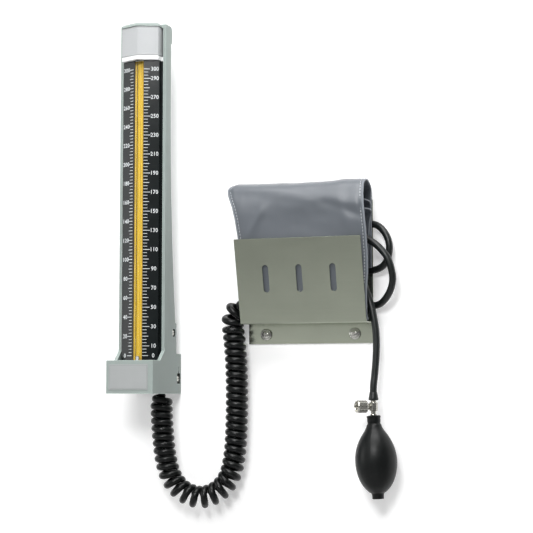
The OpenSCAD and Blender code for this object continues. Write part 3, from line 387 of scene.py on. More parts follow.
def turning_frames(points):
    """Tangent and two normals at each point, turning as little as possible."""
    p = np.array(points, float)
    tangent = np.gradient(p, axis=0)
    tangent /= np.linalg.norm(tangent, axis=1)[:, None]
    first = np.cross(tangent[0], (0.0, 1.0, 0.0))
    if np.linalg.norm(first) < 1e-3:
        first = np.cross(tangent[0], (1.0, 0.0, 0.0))
    normal = [first / np.linalg.norm(first)]
    for t in tangent[1:]:
        v = normal[-1] - t * normal[-1].dot(t)
        normal.append(v / np.linalg.norm(v))
    normal = np.array(normal)
    return tangent, normal, np.cross(tangent, normal)


def ring_faces(count, sides, closed=False):
    """Faces between rings of points, and from the last ring to the first where they close."""
    faces = []
    for i in range(count if closed else count - 1):
        j = (i + 1) % count
        for k in range(sides):
            k2 = (k + 1) % sides
            faces.append((i * sides + k, i * sides + k2, j * sides + k2, j * sides + k))
    return faces


def tube_data(points, radius, sides=16):
    """Vertices, faces and UVs of a closed tube; radius is a number or one per point."""
    p = np.array(points, float)
    _, n, b = turning_frames(p)
    r = np.broadcast_to(np.asarray(radius, float), (len(p),))
    run = run_along(p)
    verts, uvs = [], []
    for i in range(len(p)):
        for k in range(sides):
            a = 2 * math.pi * k / sides
            verts.append(p[i] + r[i] * (math.cos(a) * n[i] + math.sin(a) * b[i]))
            uvs.append((run[i], r[i] * a))
    faces = ring_faces(len(p), sides)
    faces.append(tuple(reversed(range(sides))))
    last = (len(p) - 1) * sides
    faces.append(tuple(last + k for k in range(sides)))
    return verts, faces, uvs


def tube(name, points, radius, material, body, sides=16, **more):
    return piece(name, tube_data(points, radius, sides), material, body, shade=60, **more)


def lathe_data(profile, steps, origin, axis, ripple=None):
    """Revolves [radius, height] pairs round an axis. The profile starts and ends on the axis."""
    turn = Vector(axis).to_track_quat("Z", "Y").to_matrix()
    o = Vector(origin)
    verts, faces, rings = [], [], []
    for r, h in profile:
        if r < 1e-7:
            rings.append([len(verts)])
            verts.append(o + turn @ Vector((0, 0, h)))
            continue
        ring = []
        for k in range(steps):
            a = 2 * math.pi * k / steps
            rr = ripple(r, h, a) if ripple else r
            ring.append(len(verts))
            verts.append(o + turn @ Vector((rr * math.cos(a), rr * math.sin(a), h)))
        rings.append(ring)
    for a, b in zip(rings, rings[1:]):
        for k in range(steps):
            k2 = (k + 1) % steps
            if len(a) == 1 and len(b) > 1:
                faces.append((a[0], b[k2], b[k]))
            elif len(b) == 1 and len(a) > 1:
                faces.append((a[k], a[k2], b[0]))
            elif len(a) > 1:
                faces.append((a[k], a[k2], b[k2], b[k]))
    return verts, faces


def joined(parts):
    """One vertex and face list out of several."""
    verts, faces, uvs = [], [], []
    for part in parts:
        base = len(verts)
        verts += list(part[0])
        faces += [tuple(base + i for i in f) for f in part[1]]
        uvs += list(part[2]) if len(part) > 2 else [(0, 0)] * len(part[0])
    return verts, faces, uvs


WELD, FLAT = 2e-6, math.radians(0.6)   # CAD corners closer than this are welded, flatter edges dissolved


def refined(node, body, material, width=0.3, angle=30, segments=2):
    """A bevelled copy of a CAD node that stands in its place."""
    mesh = frame["nodes"][node].data.copy()
    for extra in ("custom_normal", "sharp_edge"):
        if mesh.attributes.get(extra):
            mesh.attributes.remove(mesh.attributes[extra])
    bm = bmesh.new()
    bm.from_mesh(mesh)
    bmesh.ops.remove_doubles(bm, verts=bm.verts, dist=WELD)
    bmesh.ops.dissolve_limit(bm, angle_limit=FLAT, verts=bm.verts, edges=bm.edges)
    bmesh.ops.recalc_face_normals(bm, faces=bm.faces)
    bm.to_mesh(mesh)
    bm.free()
    obj = add_object(node + "_look", mesh, material, None, shade=angle)
    bevel = obj.modifiers.new("edges", "BEVEL")
    bevel.width = width * MM
    bevel.segments = segments
    bevel.limit_method = "ANGLE"
    bevel.angle_limit = math.radians(angle)
    bevel.use_clamp_overlap = True
    bevel.harden_normals = True
    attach(obj, body)
    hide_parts(node)
    return obj


def darken(obj, material, inside):
    """Gives the faces whose centre, in millimetres, lies in a region a second material."""
    obj.data.materials.append(material)
    for face in obj.data.polygons:
        if inside(face.center / MM):
            face.material_index = 1


def dressed(material, *nodes):
    """Gives CAD nodes whose shape is right a better material."""
    for node in nodes:
        mesh = frame["nodes"][node].data
        mesh.materials.clear()
        mesh.materials.append(material)


# ---------------- cords

COIL_AXIS = [
    (13.8, 23.5, -21), (13.8, 23.5, -30), (14.3, 23.3, -46), (15.8, 23, -66), (18.6, 22, -88),
    (24.5, 21.2, -106), (37, 20.2, -119.5), (55, 19, -125), (73, 17.6, -119), (85.5, 16.4, -104),
    (90.8, 15.6, -82), (92.4, 15.2, -58), (93, 15, -30), (92.6, 15, 0), (91, 15, 26), (88.6, 15, 46),
    (88.3, 14.8, 55), (92, 14.6, 64), (97.5, 14, 71.5),
]
COIL_TAIL = [
    (99.2, 12.2, 75.5), (100.8, 9, 80.8), (102.2, 6.4, 86.4), (103.2, 5.3, 92), (105.8, 5.2, 97.32),
    (111, 5.2, 102),
]
COIL_START = (13.8, 23.5, -14)
CUFF_HOSE = [
    (216.5, 21.5, 138.6), (219, 21.5, 138.6), (225.5, 21.8, 136.6), (231.9, 22.3, 132.4), (240.8, 23.4, 127),
    (248.2, 24, 120), (253.8, 24.1, 112), (257.1, 23.4, 102), (258, 21.6, 92.2), (255.6, 18.9, 83),
    (250.6, 15.4, 75.2), (244.6, 11.4, 69.8), (238.5, 7.4, 67.4), (232, 5.5, 67), (227, 5.2, 67),
    (218, 5.2, 67.6), (207.5, 5.2, 72.5), (202, 5.2, 84.5), (207.5, 5.2, 96.5), (218, 5.2, 101.6),
    (229, 5.2, 101.9), (237, 6.6, 102.8), (244.8, 8.8, 106), (250, 10.6, 113), (252.3, 11.4, 123),
    (250.5, 11, 133.4), (245, 9.6, 142), (238.6, 7.2, 147), (231.6, 5.4, 149), (226, 5.2, 149.8),
    (214, 5.2, 150.2), (196, 5.2, 150), (176, 5.2, 147.4), (160, 5.2, 142.6), (146.45, 5.2, 133.85),
    (140.5, 5.2, 128.5),
]
BULB_HOSE = [
    (217, 17.9, 97.6), (220.3, 17.9, 97.6), (223.2, 17.9, 96.2), (226.4, 17.9, 92), (228.9, 17.9, 84),
    (232, 18.2, 76), (235.4, 19, 66), (238.2, 20, 54), (240.2, 20.6, 42), (241, 21.2, 28), (240.6, 22.2, 12),
    (239.6, 23.4, -2), (238.8, 24.7, -12), (238.7, 25, -17.5), (238.7, 25, -19),
]
COIL_TUBE, COIL_OD, COIL_PITCH = 6.8, 23, 7.35
COIL_LOOK = 7.0                        # the tube as shown, with its moulded skin
EASE = 6                               # mm over which the coil opens and closes at its ends
AIM, BEND_AIM = 2, 5                   # mm either way to measure the axis's direction and bend
COIL_STEPS, AXIS_FINE, TAIL_FINE, HOSE_FINE = 320, 40, 8, 10
HOSE_D = 7


def in_row(points):
    """Points given like those of at(), as rows that are still in millimetres."""
    return np.array([(x, -d, z) for x, d, z in points], float)


def coil_path(per_turn=24):
    """Centreline of the coiled hose: the same winding as the CAD's, with more points."""
    dense = spline(in_row(COIL_AXIS), AXIS_FINE)
    picks = np.linspace(0, len(dense) - 1, COIL_STEPS + 1)
    pts = np.array([dense[int(round(v))] for v in picks])
    s = run_along(pts)
    run = s[-1]

    def place(v):
        return np.array([np.interp(v, s, pts[:, k]) for k in range(3)])

    def tangent(v):
        t = place(min(v + AIM, run)) - place(max(v - AIM, 0))
        return t / np.linalg.norm(t)

    radius = (COIL_OD - COIL_TUBE) / 2
    turn = [0.0]
    for k in range(COIL_STEPS):
        ahead, behind = tangent(min(s[k] + BEND_AIM, run)), tangent(max(s[k] - BEND_AIM, 0))
        bend = np.linalg.norm(ahead - behind) / (2 * BEND_AIM)
        turn.append(turn[-1] + (s[k + 1] - s[k]) * 360 * (1 - radius * bend) / COIL_PITCH)
    out = [in_row([COIL_START])[0]]
    for i in range(int(turn[-1] / 360 * per_turn) + 1):
        a = i * 360 / per_turn
        v = float(np.interp(a, turn, s))
        t = tangent(v)
        e1 = np.cross(t, (0, 1, 0))
        e1 /= np.linalg.norm(e1)
        e2 = np.cross(e1, t)
        r = radius * smooth(v / EASE) * smooth((run - v) / EASE)
        out.append(place(v) + r * (math.cos(math.radians(a)) * e1 + math.sin(math.radians(a)) * e2))
    tail = spline(np.vstack(([out[-1]], in_row(COIL_TAIL))), TAIL_FINE)
    return np.vstack((np.array(out), tail[1:]))


coil = coil_path() * MM
coil_object = tube("coiled_hose_look", coil, COIL_LOOK / 2 * MM, MAT["coil"], None, sides=14,
                   replaced=["coiled_hose"], slot="coil_rubber")
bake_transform(coil_object)
[tuple(p) for p in coil]

cuff_hose = spline(in_row(CUFF_HOSE), HOSE_FINE) * MM
cuff_hose_object = tube("cuff_hose_look", cuff_hose, HOSE_D / 2 * MM, MAT["hose"], "cuff", sides=20,
                        replaced=["cuff_hose"], slot="hose_rubber")

bulb_hose = spline(in_row(BULB_HOSE), HOSE_FINE) * MM
bulb_hose_object = tube("bulb_hose_look", bulb_hose, HOSE_D / 2 * MM, MAT["hose"], "cuff", sides=20,
                        replaced=["bulb_hose"], slot="hose_rubber")


# ---------------- bulb, valve and sleeve

LEAN = math.radians(3)                 # the bulb's lower end leans to the right
KNOB_YAW = math.radians(40)            # the knob points to the left and the front
VALVE = (238.7, 25)
VALVE_TOP = -19
SLEEVE_LEN = 8
SLEEVE_Z = VALVE_TOP - SLEEVE_LEN
HUB_Z = SLEEVE_Z - 6
BULB_Z = SLEEVE_Z - 14.5
HUB_R, SEAT_LEN, KNOB_GAP = 4.3, 3.2, 0.08
THREAD_PITCH = 0.5
GROOVES = 22
BULB_LEN, BULB_D, NECK = 81, 41, 0.1   # the neck is a share of the length
bulb_down = Vector((math.sin(LEAN), 0, -math.cos(LEAN)))
KNOB_AXIS = Vector((-math.cos(KNOB_YAW), -math.sin(KNOB_YAW), 0))
# The bulb's outline, as shares of its length and of its largest radius.
BULB_SHAPE = [
    (0, 0.33), (0.1, 0.34), (0.17, 0.44), (0.26, 0.68), (0.36, 0.87), (0.46, 0.97), (0.56, 1),
    (0.66, 0.96), (0.76, 0.85), (0.85, 0.66), (0.91, 0.44), (0.935, 0.31), (0.97, 0.28), (1, 0.28),
]


def bulb_piece():
    """Rubber bulb with a rolled neck, a faint mould line and a seat for the inlet valve."""
    shape = spline([(s, 0, r) for s, r in BULB_SHAPE], 7)
    end = BULB_LEN * MM
    body = []
    for along, _, share in shape:
        r, h = share * BULB_D / 2 * MM, along * BULB_LEN * MM
        s = h / end
        if s < NECK:
            r = (6.3 + 0.75 * math.exp(-((s - 0.012) / 0.018) ** 2)
                 + 0.35 * math.exp(-((s - 0.06) / 0.02) ** 2)) * MM
        body.append((min(r, BULB_D / 2 * MM), h))
    rim = [(0.0, 0.004), (0.0029, 0.004), (0.0029, 0.0006), (0.0034, 0.0001), (0.0055, 0.0)]
    tip = body[-1][0]
    foot = [(tip - 0.0005, end), (0.0041, end), (0.0040, end - 0.006), (0.0, end - 0.006)]
    profile = rim + body[1:-1] + [(tip, end - 0.0005)] + foot

    def mould(r, h, a):
        line = math.exp(-((math.sin(a)) / 0.018) ** 2)
        wave = 0.00008 * math.sin(3 * a + h * 70) * smooth(h / 0.02)
        return r + 0.00012 * line * (r > 0.005) + wave

    return piece("bulb_look", lathe_data(profile, 128, at(*VALVE, BULB_Z), bulb_down, mould),
                 MAT["bulb"], "cuff", ["bulb"], "bulb_rubber", 40)


def sleeve_piece():
    """Rubber sleeve over the hose's end, flaring to a soft lip."""
    h = SLEEVE_LEN * MM
    profile = [(0.0, 0.0), (0.0031, 0.0), (0.0044, 0.0002), (0.0049, 0.0008), (0.00485, 0.0018),
               (0.0046, 0.0032), (0.00435, 0.0046), (0.0041, 0.006), (0.0039, h * 0.93), (0.0037, h),
               (0.0, h)]
    return piece("sleeve_look", lathe_data(profile, 48, at(*VALVE, SLEEVE_Z), UP),
                 MAT["hose"], "cuff", ["hose_sleeve"], "hose_rubber", 50)


def valve_piece():
    """Chromed valve body: stem with rings, hub, and the threaded seat for the knob."""
    low, top = BULB_Z, SLEEVE_Z
    stem = [
        (0, low - 3), (2.52, low - 3), (2.8, low), (3.3, low + 0.25), (3.4, low + 0.5), (3.3, low + 0.9),
        (2.75, low + 1.2), (2.7, HUB_Z - 4.6), (3.9, HUB_Z - 4.2), (HUB_R, HUB_Z - 3.7),
        (HUB_R, HUB_Z + 3.7), (3.9, HUB_Z + 4.2), (2.7, HUB_Z + 4.5), (2.7, top - 0.9), (3, top - 0.6),
        (3, top), (0, top),
    ]
    seat = [(0, 1)]
    h = 2.0
    while h < 7.2:
        seat += [(3.05, h), (3.2, h + 0.15), (3.05, h + 0.3), (2.85, h + 0.42)]
        h += THREAD_PITCH
    end = HUB_R + SEAT_LEN
    seat += [(3, end - 0.05), (2.3, end), (0, end)]
    both = joined([
        lathe_data([(r * MM, h * MM) for r, h in stem], 56, at(*VALVE, 0), UP),
        lathe_data([(r * MM, h * MM) for r, h in seat], 48, at(*VALVE, HUB_Z), KNOB_AXIS),
    ])
    return piece("valve_body_look", both[:2], MAT["chrome"], "cuff", ["valve_body"], "valve_chrome", 30)


def knob_piece():
    """Knurled knob: straight grooves round the rim, a rounded edge, and a recessed end."""
    def knurl(r, h, a):
        if 0.0010 < h < 0.0094 and r > 0.0055:
            return r - 0.00038 * max(0.0, math.cos(GROOVES * a)) ** 3
        return r

    profile = [(0.0, 0.0), (0.0052, 0.0), (0.0060, 0.0005), (0.0061, 0.0011)]
    profile += [(0.0062, 0.0012 + k * 0.00034) for k in range(25)]
    profile += [(0.0061, 0.0097), (0.0059, 0.0105), (0.0055, 0.0109), (0.0048, 0.0109), (0.0044, 0.0104),
                (0.0042, 0.0086), (0.0016, 0.0086), (0.0014, 0.0060), (0.0, 0.0060)]
    start = at(*VALVE, HUB_Z) + KNOB_AXIS * (HUB_R + SEAT_LEN + KNOB_GAP) * MM
    return piece("valve_knob_look", lathe_data(profile, 208, start, KNOB_AXIS, knurl),
                 MAT["chrome"], "knob", ["valve_knob"], "valve_chrome", 45)


bulb_object = bulb_piece()
sleeve_object = sleeve_piece()
valve_object = valve_piece()
knob_object = knob_piece()


# ---------------- manometer

def in_screw_recess(c):
    """The slot for the bracket and the round recess for its screw, in both of the base's side walls."""
    slot = 2 < -c.y < 11 and -10.6 < c.z < 8.3
    recess = math.hypot(c.y + 20, c.z - 42) < 4.8
    return 22.4 < abs(c.x) < 25.4 and (slot or recess)


housing = refined("housing", "root", MAT["housing"], 0.35)
# The recesses in the base's side walls get a near-black material: painted shade.
darken(housing, MAT["hollow"], in_screw_recess)
refined("top_cap", "root", MAT["cap"], 0.5, segments=3)
refined("scale_clamp", "root", MAT["clamp"], 0.25)
refined("scale_plate", "root", MAT["black"], 0.2)
refined("label_plate", "root", MAT["label"], 0.12)

LABEL_X, LABEL_Z = (-21.3, 19.3), (-15.45, 7.95)
LABEL_FRONT, LINE_WIDTH, LINE_DEPTH = 75.04, 0.3, 0.08


def slab(place, left, right, low, high, back, front):
    """A thin box over a rectangle. place() takes across, up and forward, in millimetres, to a point."""
    corners = [(left, low), (right, low), (right, high), (left, high)]
    verts = [place(a, z, lift) for lift in (back, front) for a, z in corners]
    return verts, [(3, 2, 1, 0), (4, 5, 6, 7), (0, 1, 5, 4), (1, 2, 6, 5), (2, 3, 7, 6), (3, 0, 4, 7)]


def label_frame():
    """A thin printed line round the bare label, a little inside its edge."""
    (x0, x1), (z0, z1), w = LABEL_X, LABEL_Z, LINE_WIDTH
    bars = [(x0, x1, z0, z0 + w), (x0, x1, z1 - w, z1), (x0, x0 + w, z0 + w, z1 - w),
            (x1 - w, x1, z0 + w, z1 - w)]

    def place(x, z, lift):
        return at(x, LABEL_FRONT + lift, z)

    piece("label_frame", joined([slab(place, *bar, -LINE_DEPTH, 0) for bar in bars])[:2],
          MAT["label_line"], "root", shade=None, slot=slot_of["label_plate"])


label_frame()
refined("base_cover", "root", MAT["cover"], 0.3)
refined("wall_bracket", "root", MAT["zinc"], 0.3)
dressed(MAT["yellow"], "tube_backing")
dressed(MAT["screw"], "hook_screws", "reservoir_screws", "base_cover_screws", "bridge_screws")
dressed(MAT["machined"], "tube_foot", "clamp_screw", "air_pipe", "reservoir_cup", "reservoir_lid")
dressed(MAT["zinc"], "clamp_bridge", "reservoir_clamp")
dressed(MAT["seal"], "lower_seal", "upper_seal", "reservoir_gasket", "feed_gasket")
dressed(MAT["leather"], "vent_filter")
dressed(MAT["mercury"], "mercury_feed", "mercury_pool", "pool_surface", "mercury_thread",
        "mercury_meniscus")

TUBE_AXIS, TUBE_OD, TUBE_BORE = 54.3, 8, 3.6
TUBE_Z = (5.5, 331)
TUBE_EDGE, BORE_EDGE = 0.3, 0.2        # chamfers of the glass tube's ends


def glass_piece():
    """The glass tube, open through its bore."""
    steps = 72
    z0, z1 = TUBE_Z
    outer, bore = TUBE_OD / 2, TUBE_BORE / 2
    rings = [(outer - TUBE_EDGE, z0), (outer, z0 + TUBE_EDGE), (outer, z1 - TUBE_EDGE),
             (outer - TUBE_EDGE, z1), (bore + BORE_EDGE, z1), (bore, z1 - BORE_EDGE),
             (bore, z0 + BORE_EDGE), (bore + BORE_EDGE, z0)]
    turn = [2 * math.pi * k / steps for k in range(steps)]
    verts = [Vector((r * math.cos(a), -TUBE_AXIS + r * math.sin(a), z)) * MM for r, z in rings for a in turn]
    faces = ring_faces(len(rings), steps, closed=True)
    glass = piece("glass_tube_look", (verts, faces), MAT["glass"], "root", ["glass_tube"], "tube_glass")
    glass.visible_shadow = False


glass_piece()

# Facets of the scale plate: from its outer edge at x = 20 to the trough at x = 4.9.
FACET_OUT, FACET_IN = (20.0, 49.0), (4.9, 54.8)
FACET = math.hypot(FACET_OUT[0] - FACET_IN[0], FACET_IN[1] - FACET_OUT[1])
ALONG = ((FACET_IN[0] - FACET_OUT[0]) / FACET, (FACET_IN[1] - FACET_OUT[1]) / FACET)
NORMAL = (ALONG[1], -ALONG[0])
SCALE_ZERO, MMHG = 18.0, 0.98
DIVISIONS, PER_TEN = 91, 3
THIN, THICK = 0.24, 0.29               # half widths of the divisions
INK_BACK, INK_FRONT, DIGIT_BACK = -0.02, 0.07, 0.03
DIGIT_HEIGHT, CAPITAL = 4.2, 0.73      # the font's capitals are this share of its size
DIGIT_DEPTH, DIGIT_WEIGHT = 0.045, 0.075    # half its depth, and how far its outline is widened

# By side: where the divisions end, how long they are at a number, at other tens and between,
# which of six divisions has the number, the numbers, their width and how far in they stand.
RIGHT_MARKS = dict(side=1, end=FACET - 0.45, lengths=(7.0, 6.0, 4.3), numbered=3,
                   values=[0, *range(10, 301, 20), 300], width=0.9, middle=4.6)
LEFT_MARKS = dict(side=-1, end=FACET - 1.9, lengths=(6.0, 5.0, 3.9), numbered=0,
                  values=range(0, 301, 20), width=0.96, middle=4.9)


def on_facet(side, s, z, lift):
    """A point s mm in from the facet's outer edge."""
    x = FACET_OUT[0] + ALONG[0] * s + NORMAL[0] * lift
    d = FACET_OUT[1] + ALONG[1] * s + NORMAL[1] * lift
    return at(side * x, d, z)


def numeral_mesh(text, stretch):
    """Vertices and faces of a number, in millimetres round its middle."""
    curve = bpy.data.curves.new("numeral", "FONT")
    curve.body = text
    curve.size = DIGIT_HEIGHT / CAPITAL
    curve.align_x = curve.align_y = "CENTER"
    curve.extrude = DIGIT_DEPTH
    curve.offset = DIGIT_WEIGHT
    curve.resolution_u = 3
    curve.space_character = 1.08
    obj = bpy.data.objects.new("numeral", curve)
    bpy.context.scene.collection.objects.link(obj)
    mesh = bpy.data.meshes.new_from_object(obj)
    verts = [(v.co.x * stretch, v.co.y, v.co.z) for v in mesh.vertices]
    faces = [tuple(p.vertices) for p in mesh.polygons]
    bpy.data.objects.remove(obj)
    bpy.data.curves.remove(curve)
    bpy.data.meshes.remove(mesh)
    return verts, faces


def scale_marks(name, side, end, lengths, numbered, values, width, middle):
    """Divisions and numbers on one facet: three divisions to every ten, as the photograph shows them."""
    def place(s, z, lift):
        return on_facet(side, s, z, lift)

    parts = []
    for i in range(DIVISIONS):
        if i % (2 * PER_TEN) == numbered:
            length = lengths[0]
        elif i % PER_TEN == 0:
            length = lengths[1]
        else:
            length = lengths[2]
        z = SCALE_ZERO + i * 10 / PER_TEN * MMHG
        half = THIN if i % PER_TEN else THICK
        parts.append(slab(place, end - length, end, z - half, z + half, INK_BACK, INK_FRONT))
    for value in values:
        verts, faces = numeral_mesh(str(value), width)
        z = SCALE_ZERO + value * MMHG
        placed = [place(middle - side * x, z + y, DIGIT_BACK + h) for x, y, h in verts]
        parts.append((placed, faces if side > 0 else [tuple(reversed(f)) for f in faces]))
    piece(name, joined(parts)[:2], MAT["white_ink"], "root", slot="clamp_white", shade=None)


scale_marks("scale_marks_right", **RIGHT_MARKS)
scale_marks("scale_marks_left", **LEFT_MARKS)


# ---------------- basket

refined("basket_back", "root", MAT["basket"], 0.25)
refined("basket_front", "root", MAT["basket"], 0.25)
refined("basket_screws", "root", MAT["screw"], 0.12, angle=35)
refined("cup_washers", "root", MAT["screw"], 0.1, angle=35)


# ---------------- cuff

FLOOR_Z, MOUTH_Z = 49.5, 133.5
POCKET_LOW, POCKET_HIGH, SHEET_T = 27, 48, 1.2
LEAN_OUT = (POCKET_HIGH - POCKET_LOW) / (MOUTH_Z - FLOOR_Z)
CUFF_Z, CUFF_H = 51.1, 139.5
CUFF_TOP = CUFF_Z + CUFF_H
HOSE_LANE, LANE_TOP = 9.3, 156
FOLD_BEND = 0.93                       # the share of the cuff's height where it turns over
OUTER_LEG, OUTER_POINTS, INNER_LEG, INNER_POINTS = 40, 170, 30, 110
# How far the cuff's front lies behind the pocket's panel, by the share of the cuff's height.
CROWN = [(0, 1.1), (0.6, 1.1), (0.7, 1.5), (0.8, 3.5), (0.87, 7), (0.93, 12.5), (1.2, 40)]


def panel_in(z):
    """The pocket's inner face, as a distance from the wall."""
    return POCKET_LOW - SHEET_T + LEAN_OUT * (z - FLOOR_Z)


def cuff_front(z):
    return panel_in(z) - lookup((z - CUFF_Z) / CUFF_H, CROWN)


def cuff_rear(z):
    """The cuff's back: in front of the hoses behind it, and close to the wall above them."""
    return HOSE_LANE if z < LANE_TOP else mix(HOSE_LANE, SHEET_T + 1.6, min(1, (z - LANE_TOP) / 8))


def over(front, rear, base, top, step):
    """Half an ellipse over the top of a fold, as [d, z]."""
    return [((front + rear) / 2 + (front - rear) / 2 * math.cos(math.radians(a)),
             base + (top - base) * math.sin(math.radians(a))) for a in range(step, 180, step)]


def evened(points, rounds, count):
    """A profile with its corners softened and its points evenly spaced, and the distance along it."""
    p = np.array(points)
    for _ in range(rounds):
        p[1:-1] = 0.25 * p[:-2] + 0.5 * p[1:-1] + 0.25 * p[2:]
    s = run_along(p)
    v = np.linspace(0, s[-1], count)
    return np.stack([np.interp(v, s, p[:, 0]), np.interp(v, s, p[:, 1])], 1), v


def outer_profile(inset, bottom, top):
    """Side profile of the outer fold: front bottom, over the fold, to back bottom, as [d, z]."""
    base = CUFF_Z + FOLD_BEND * CUFF_H - (CUFF_TOP - top)
    front = [(cuff_front(z) - inset, z) for z in np.linspace(bottom, base, OUTER_LEG)]
    rear = [(cuff_rear(z) + inset, z) for z in np.linspace(base, bottom, OUTER_LEG)]
    fold = over(cuff_front(base) - inset, cuff_rear(base) + inset, base, top, 8)
    return evened(front + fold + rear, 6, OUTER_POINTS)


def inner_profile(inset, top, back, low):
    """Side profile of an inner fold, whose rear leg stands at a distance from the wall and ends higher."""
    base = top - 7
    front = [(cuff_front(z) - inset, z) for z in np.linspace(CUFF_Z + 1, base, INNER_LEG)]
    rear = [(back, z) for z in np.linspace(base, low, INNER_LEG)]
    return evened(front + over(front[-1][0], back, base, top, 10) + rear, 3, INNER_POINTS)


# Side edges of the outer fold's front and rear legs, and how far its crest rises, as [z, x] and [x, rise].
LEFT_FRONT = [(50, 105.5), (134, 105), (153, 103), (166, 100), (178, 95), (184, 93.5), (191, 96)]
LEFT_REAR = [(51, 105.5), (120, 105.5), (150, 102.5), (175, 98.5), (192, 97.5)]
RIGHT_FRONT = [(54, 232), (81, 233.5), (97, 236), (112, 237), (140, 237), (157, 236), (171, 235),
               (189, 234), (192, 233.5)]
RIGHT_REAR = [(90, 228.5), (120, 229.5), (140, 231), (160, 232), (192, 232)]
CREST = [(88, 0.7), (120, 0.3), (163, -0.2), (194, 0.9), (215, 2.1), (232, 1.8)]


def to_front(d):
    """0 on the rear leg, 1 on the front leg, and between them over the fold."""
    return smooth((d - 10) / 20)


def left_edge(d, z):
    return mix(lookup(z, LEFT_REAR), lookup(z, LEFT_FRONT), to_front(d))


def right_edge(d, z):
    return mix(lookup(z, RIGHT_REAR), lookup(z, RIGHT_FRONT), to_front(d))


def wrinkle(x, z, front):
    """Soft hollows and ridges of the outer fold, in mm along its outward normal."""
    p = Vector((x * 0.02, z * 0.035, 3.1))
    h = 0.9 * noise.noise(p) + 0.35 * noise.noise(p * 2.7 + Vector((5, 1, 2)))
    h += 0.16 * noise.noise(Vector((x * 0.16, z * 0.07, 7.7)))
    if front:
        # A hollow above the pocket, a ridge under the crest, one at each side, and a crease top right.
        h -= 2.4 * math.exp(-((x - 172) / 44) ** 2 - ((z - 152) / 15) ** 2)
        h += 1.3 * math.exp(-((z - 176 + 0.16 * (x - 165)) / 6) ** 2)
        h += 1.4 * math.exp(-((x - 122 - 0.5 * (z - 146)) / 5) ** 2 - ((z - 152) / 14) ** 2)
        h += 1.0 * math.exp(-((x - 218 + 0.35 * (z - 150)) / 6) ** 2 - ((z - 150) / 20) ** 2)
        h -= 0.8 * math.exp(-((z - 168 + 0.4 * (x - 196)) / 5) ** 2) * smooth((x - 150) / 40)
    return h


def rise(x, z):
    """The fold's crest isn't level: it dips in the middle and stands a little higher on the right."""
    return lookup(x, CREST) * smooth((z - 165) / 25)


# Millimetres over which a sheet's side edge gets thin, sinks and loses its wrinkles; the share of
# its thickness that is left there; and the share of the profile that counts as its front.
THIN_OVER, SINK_OVER, FLAT_OVER, THIN_TO, FRONT_SHARE = 7, 9, 6, 0.34, 0.55


def spaced(count):
    """From 0 to 1, closer together near both ends."""
    us = [0.5 - 0.5 * math.cos(math.pi * (0.06 + 0.88 * i / (count - 1))) for i in range(count)]
    return [(u - us[0]) / (us[-1] - us[0]) for u in us]


def sheet_data(profile, run, left, right, thick, across, displace, edge_drop=2.2):
    """A closed padded sheet: a profile carried along x between left() and right(), thinner at its edges."""
    m, n = len(profile), across
    tangent = np.gradient(profile, axis=0)
    tangent /= np.linalg.norm(tangent, axis=1)[:, None]
    out = np.stack([tangent[:, 1], -tangent[:, 0]], 1)
    us = spaced(across)
    verts, uvs = [], []
    for outer in (True, False):
        for j, (d, z) in enumerate(profile):
            xl, xr = left(d, z), right(d, z)
            for u in us:
                x = mix(xl, xr, u)
                edge = min(x - xl, xr - x)
                t = thick * (THIN_TO + (1 - THIN_TO) * smooth(edge / THIN_OVER))
                drop = edge_drop * (1 - smooth(edge / SINK_OVER)) ** 2
                w = displace(x, z, j < m * FRONT_SHARE) * smooth(edge / FLAT_OVER) - drop * 0.5
                off = w if outer else w - t
                verts.append(at(x, d + out[j][0] * off, z + out[j][1] * off + rise(x, z)))
                uvs.append((x * MM, run[j] * MM))
    faces = []
    k = m * n
    for j in range(m - 1):
        for i in range(n - 1):
            a, b = j * n + i, j * n + i + 1
            c, e = a + n, b + n
            faces.append((a, b, e, c))
            faces.append((k + a, k + c, k + e, k + b))
    for j in range(m - 1):
        a, c = j * n, (j + 1) * n
        faces.append((a, c, k + c, k + a))
        b, e = a + n - 1, c + n - 1
        faces.append((b, k + b, k + e, e))
    for i in range(n - 1):
        faces.append((i, k + i, k + i + 1, i + 1))
        a = (m - 1) * n + i
        faces.append((a, a + 1, k + a + 1, k + a))
    return (verts, faces, uvs), out


def edge_line(profile, out, left, right, side, inset, lift):
    """Points along a side edge of a sheet, inset from the edge and lifted off its outer face."""
    pts = []
    for (d, z), o in zip(profile, out):
        x = right(d, z) - inset if side > 0 else left(d, z) + inset
        pts.append(at(x, d + o[0] * lift, z + o[1] * lift + rise(x, z)))
    return np.array([tuple(p) for p in pts])


def stitches(line, pitch=0.0032, length=0.0021, radius=0.00026, sunk=0.5):
    """A row of stitches along a line, each thinner at its ends."""
    s = run_along(line)
    parts = []
    v = pitch * 0.5
    while v + length < s[-1]:
        pts = [[np.interp(v + f * length, s, line[:, k]) for k in range(3)] for f in (0.0, 0.25, 0.75, 1.0)]
        parts.append(tube_data(np.array(pts), [radius * sunk, radius, radius, radius * sunk], 6))
        v += pitch
    return joined(parts)


SHELL_T, FOLD_T = 2.3, 1.8
FOLD_LEFT, FOLD_RIGHT = 107.4, 228.5
# How far in from the edge and off the face these lie; the piping also has its radius.
SEAM, OUTER_PIPING, INNER_PIPING = (2.6, -0.62), (0.15, -1.5, 0.95), (0.1, -1.1, 0.75)


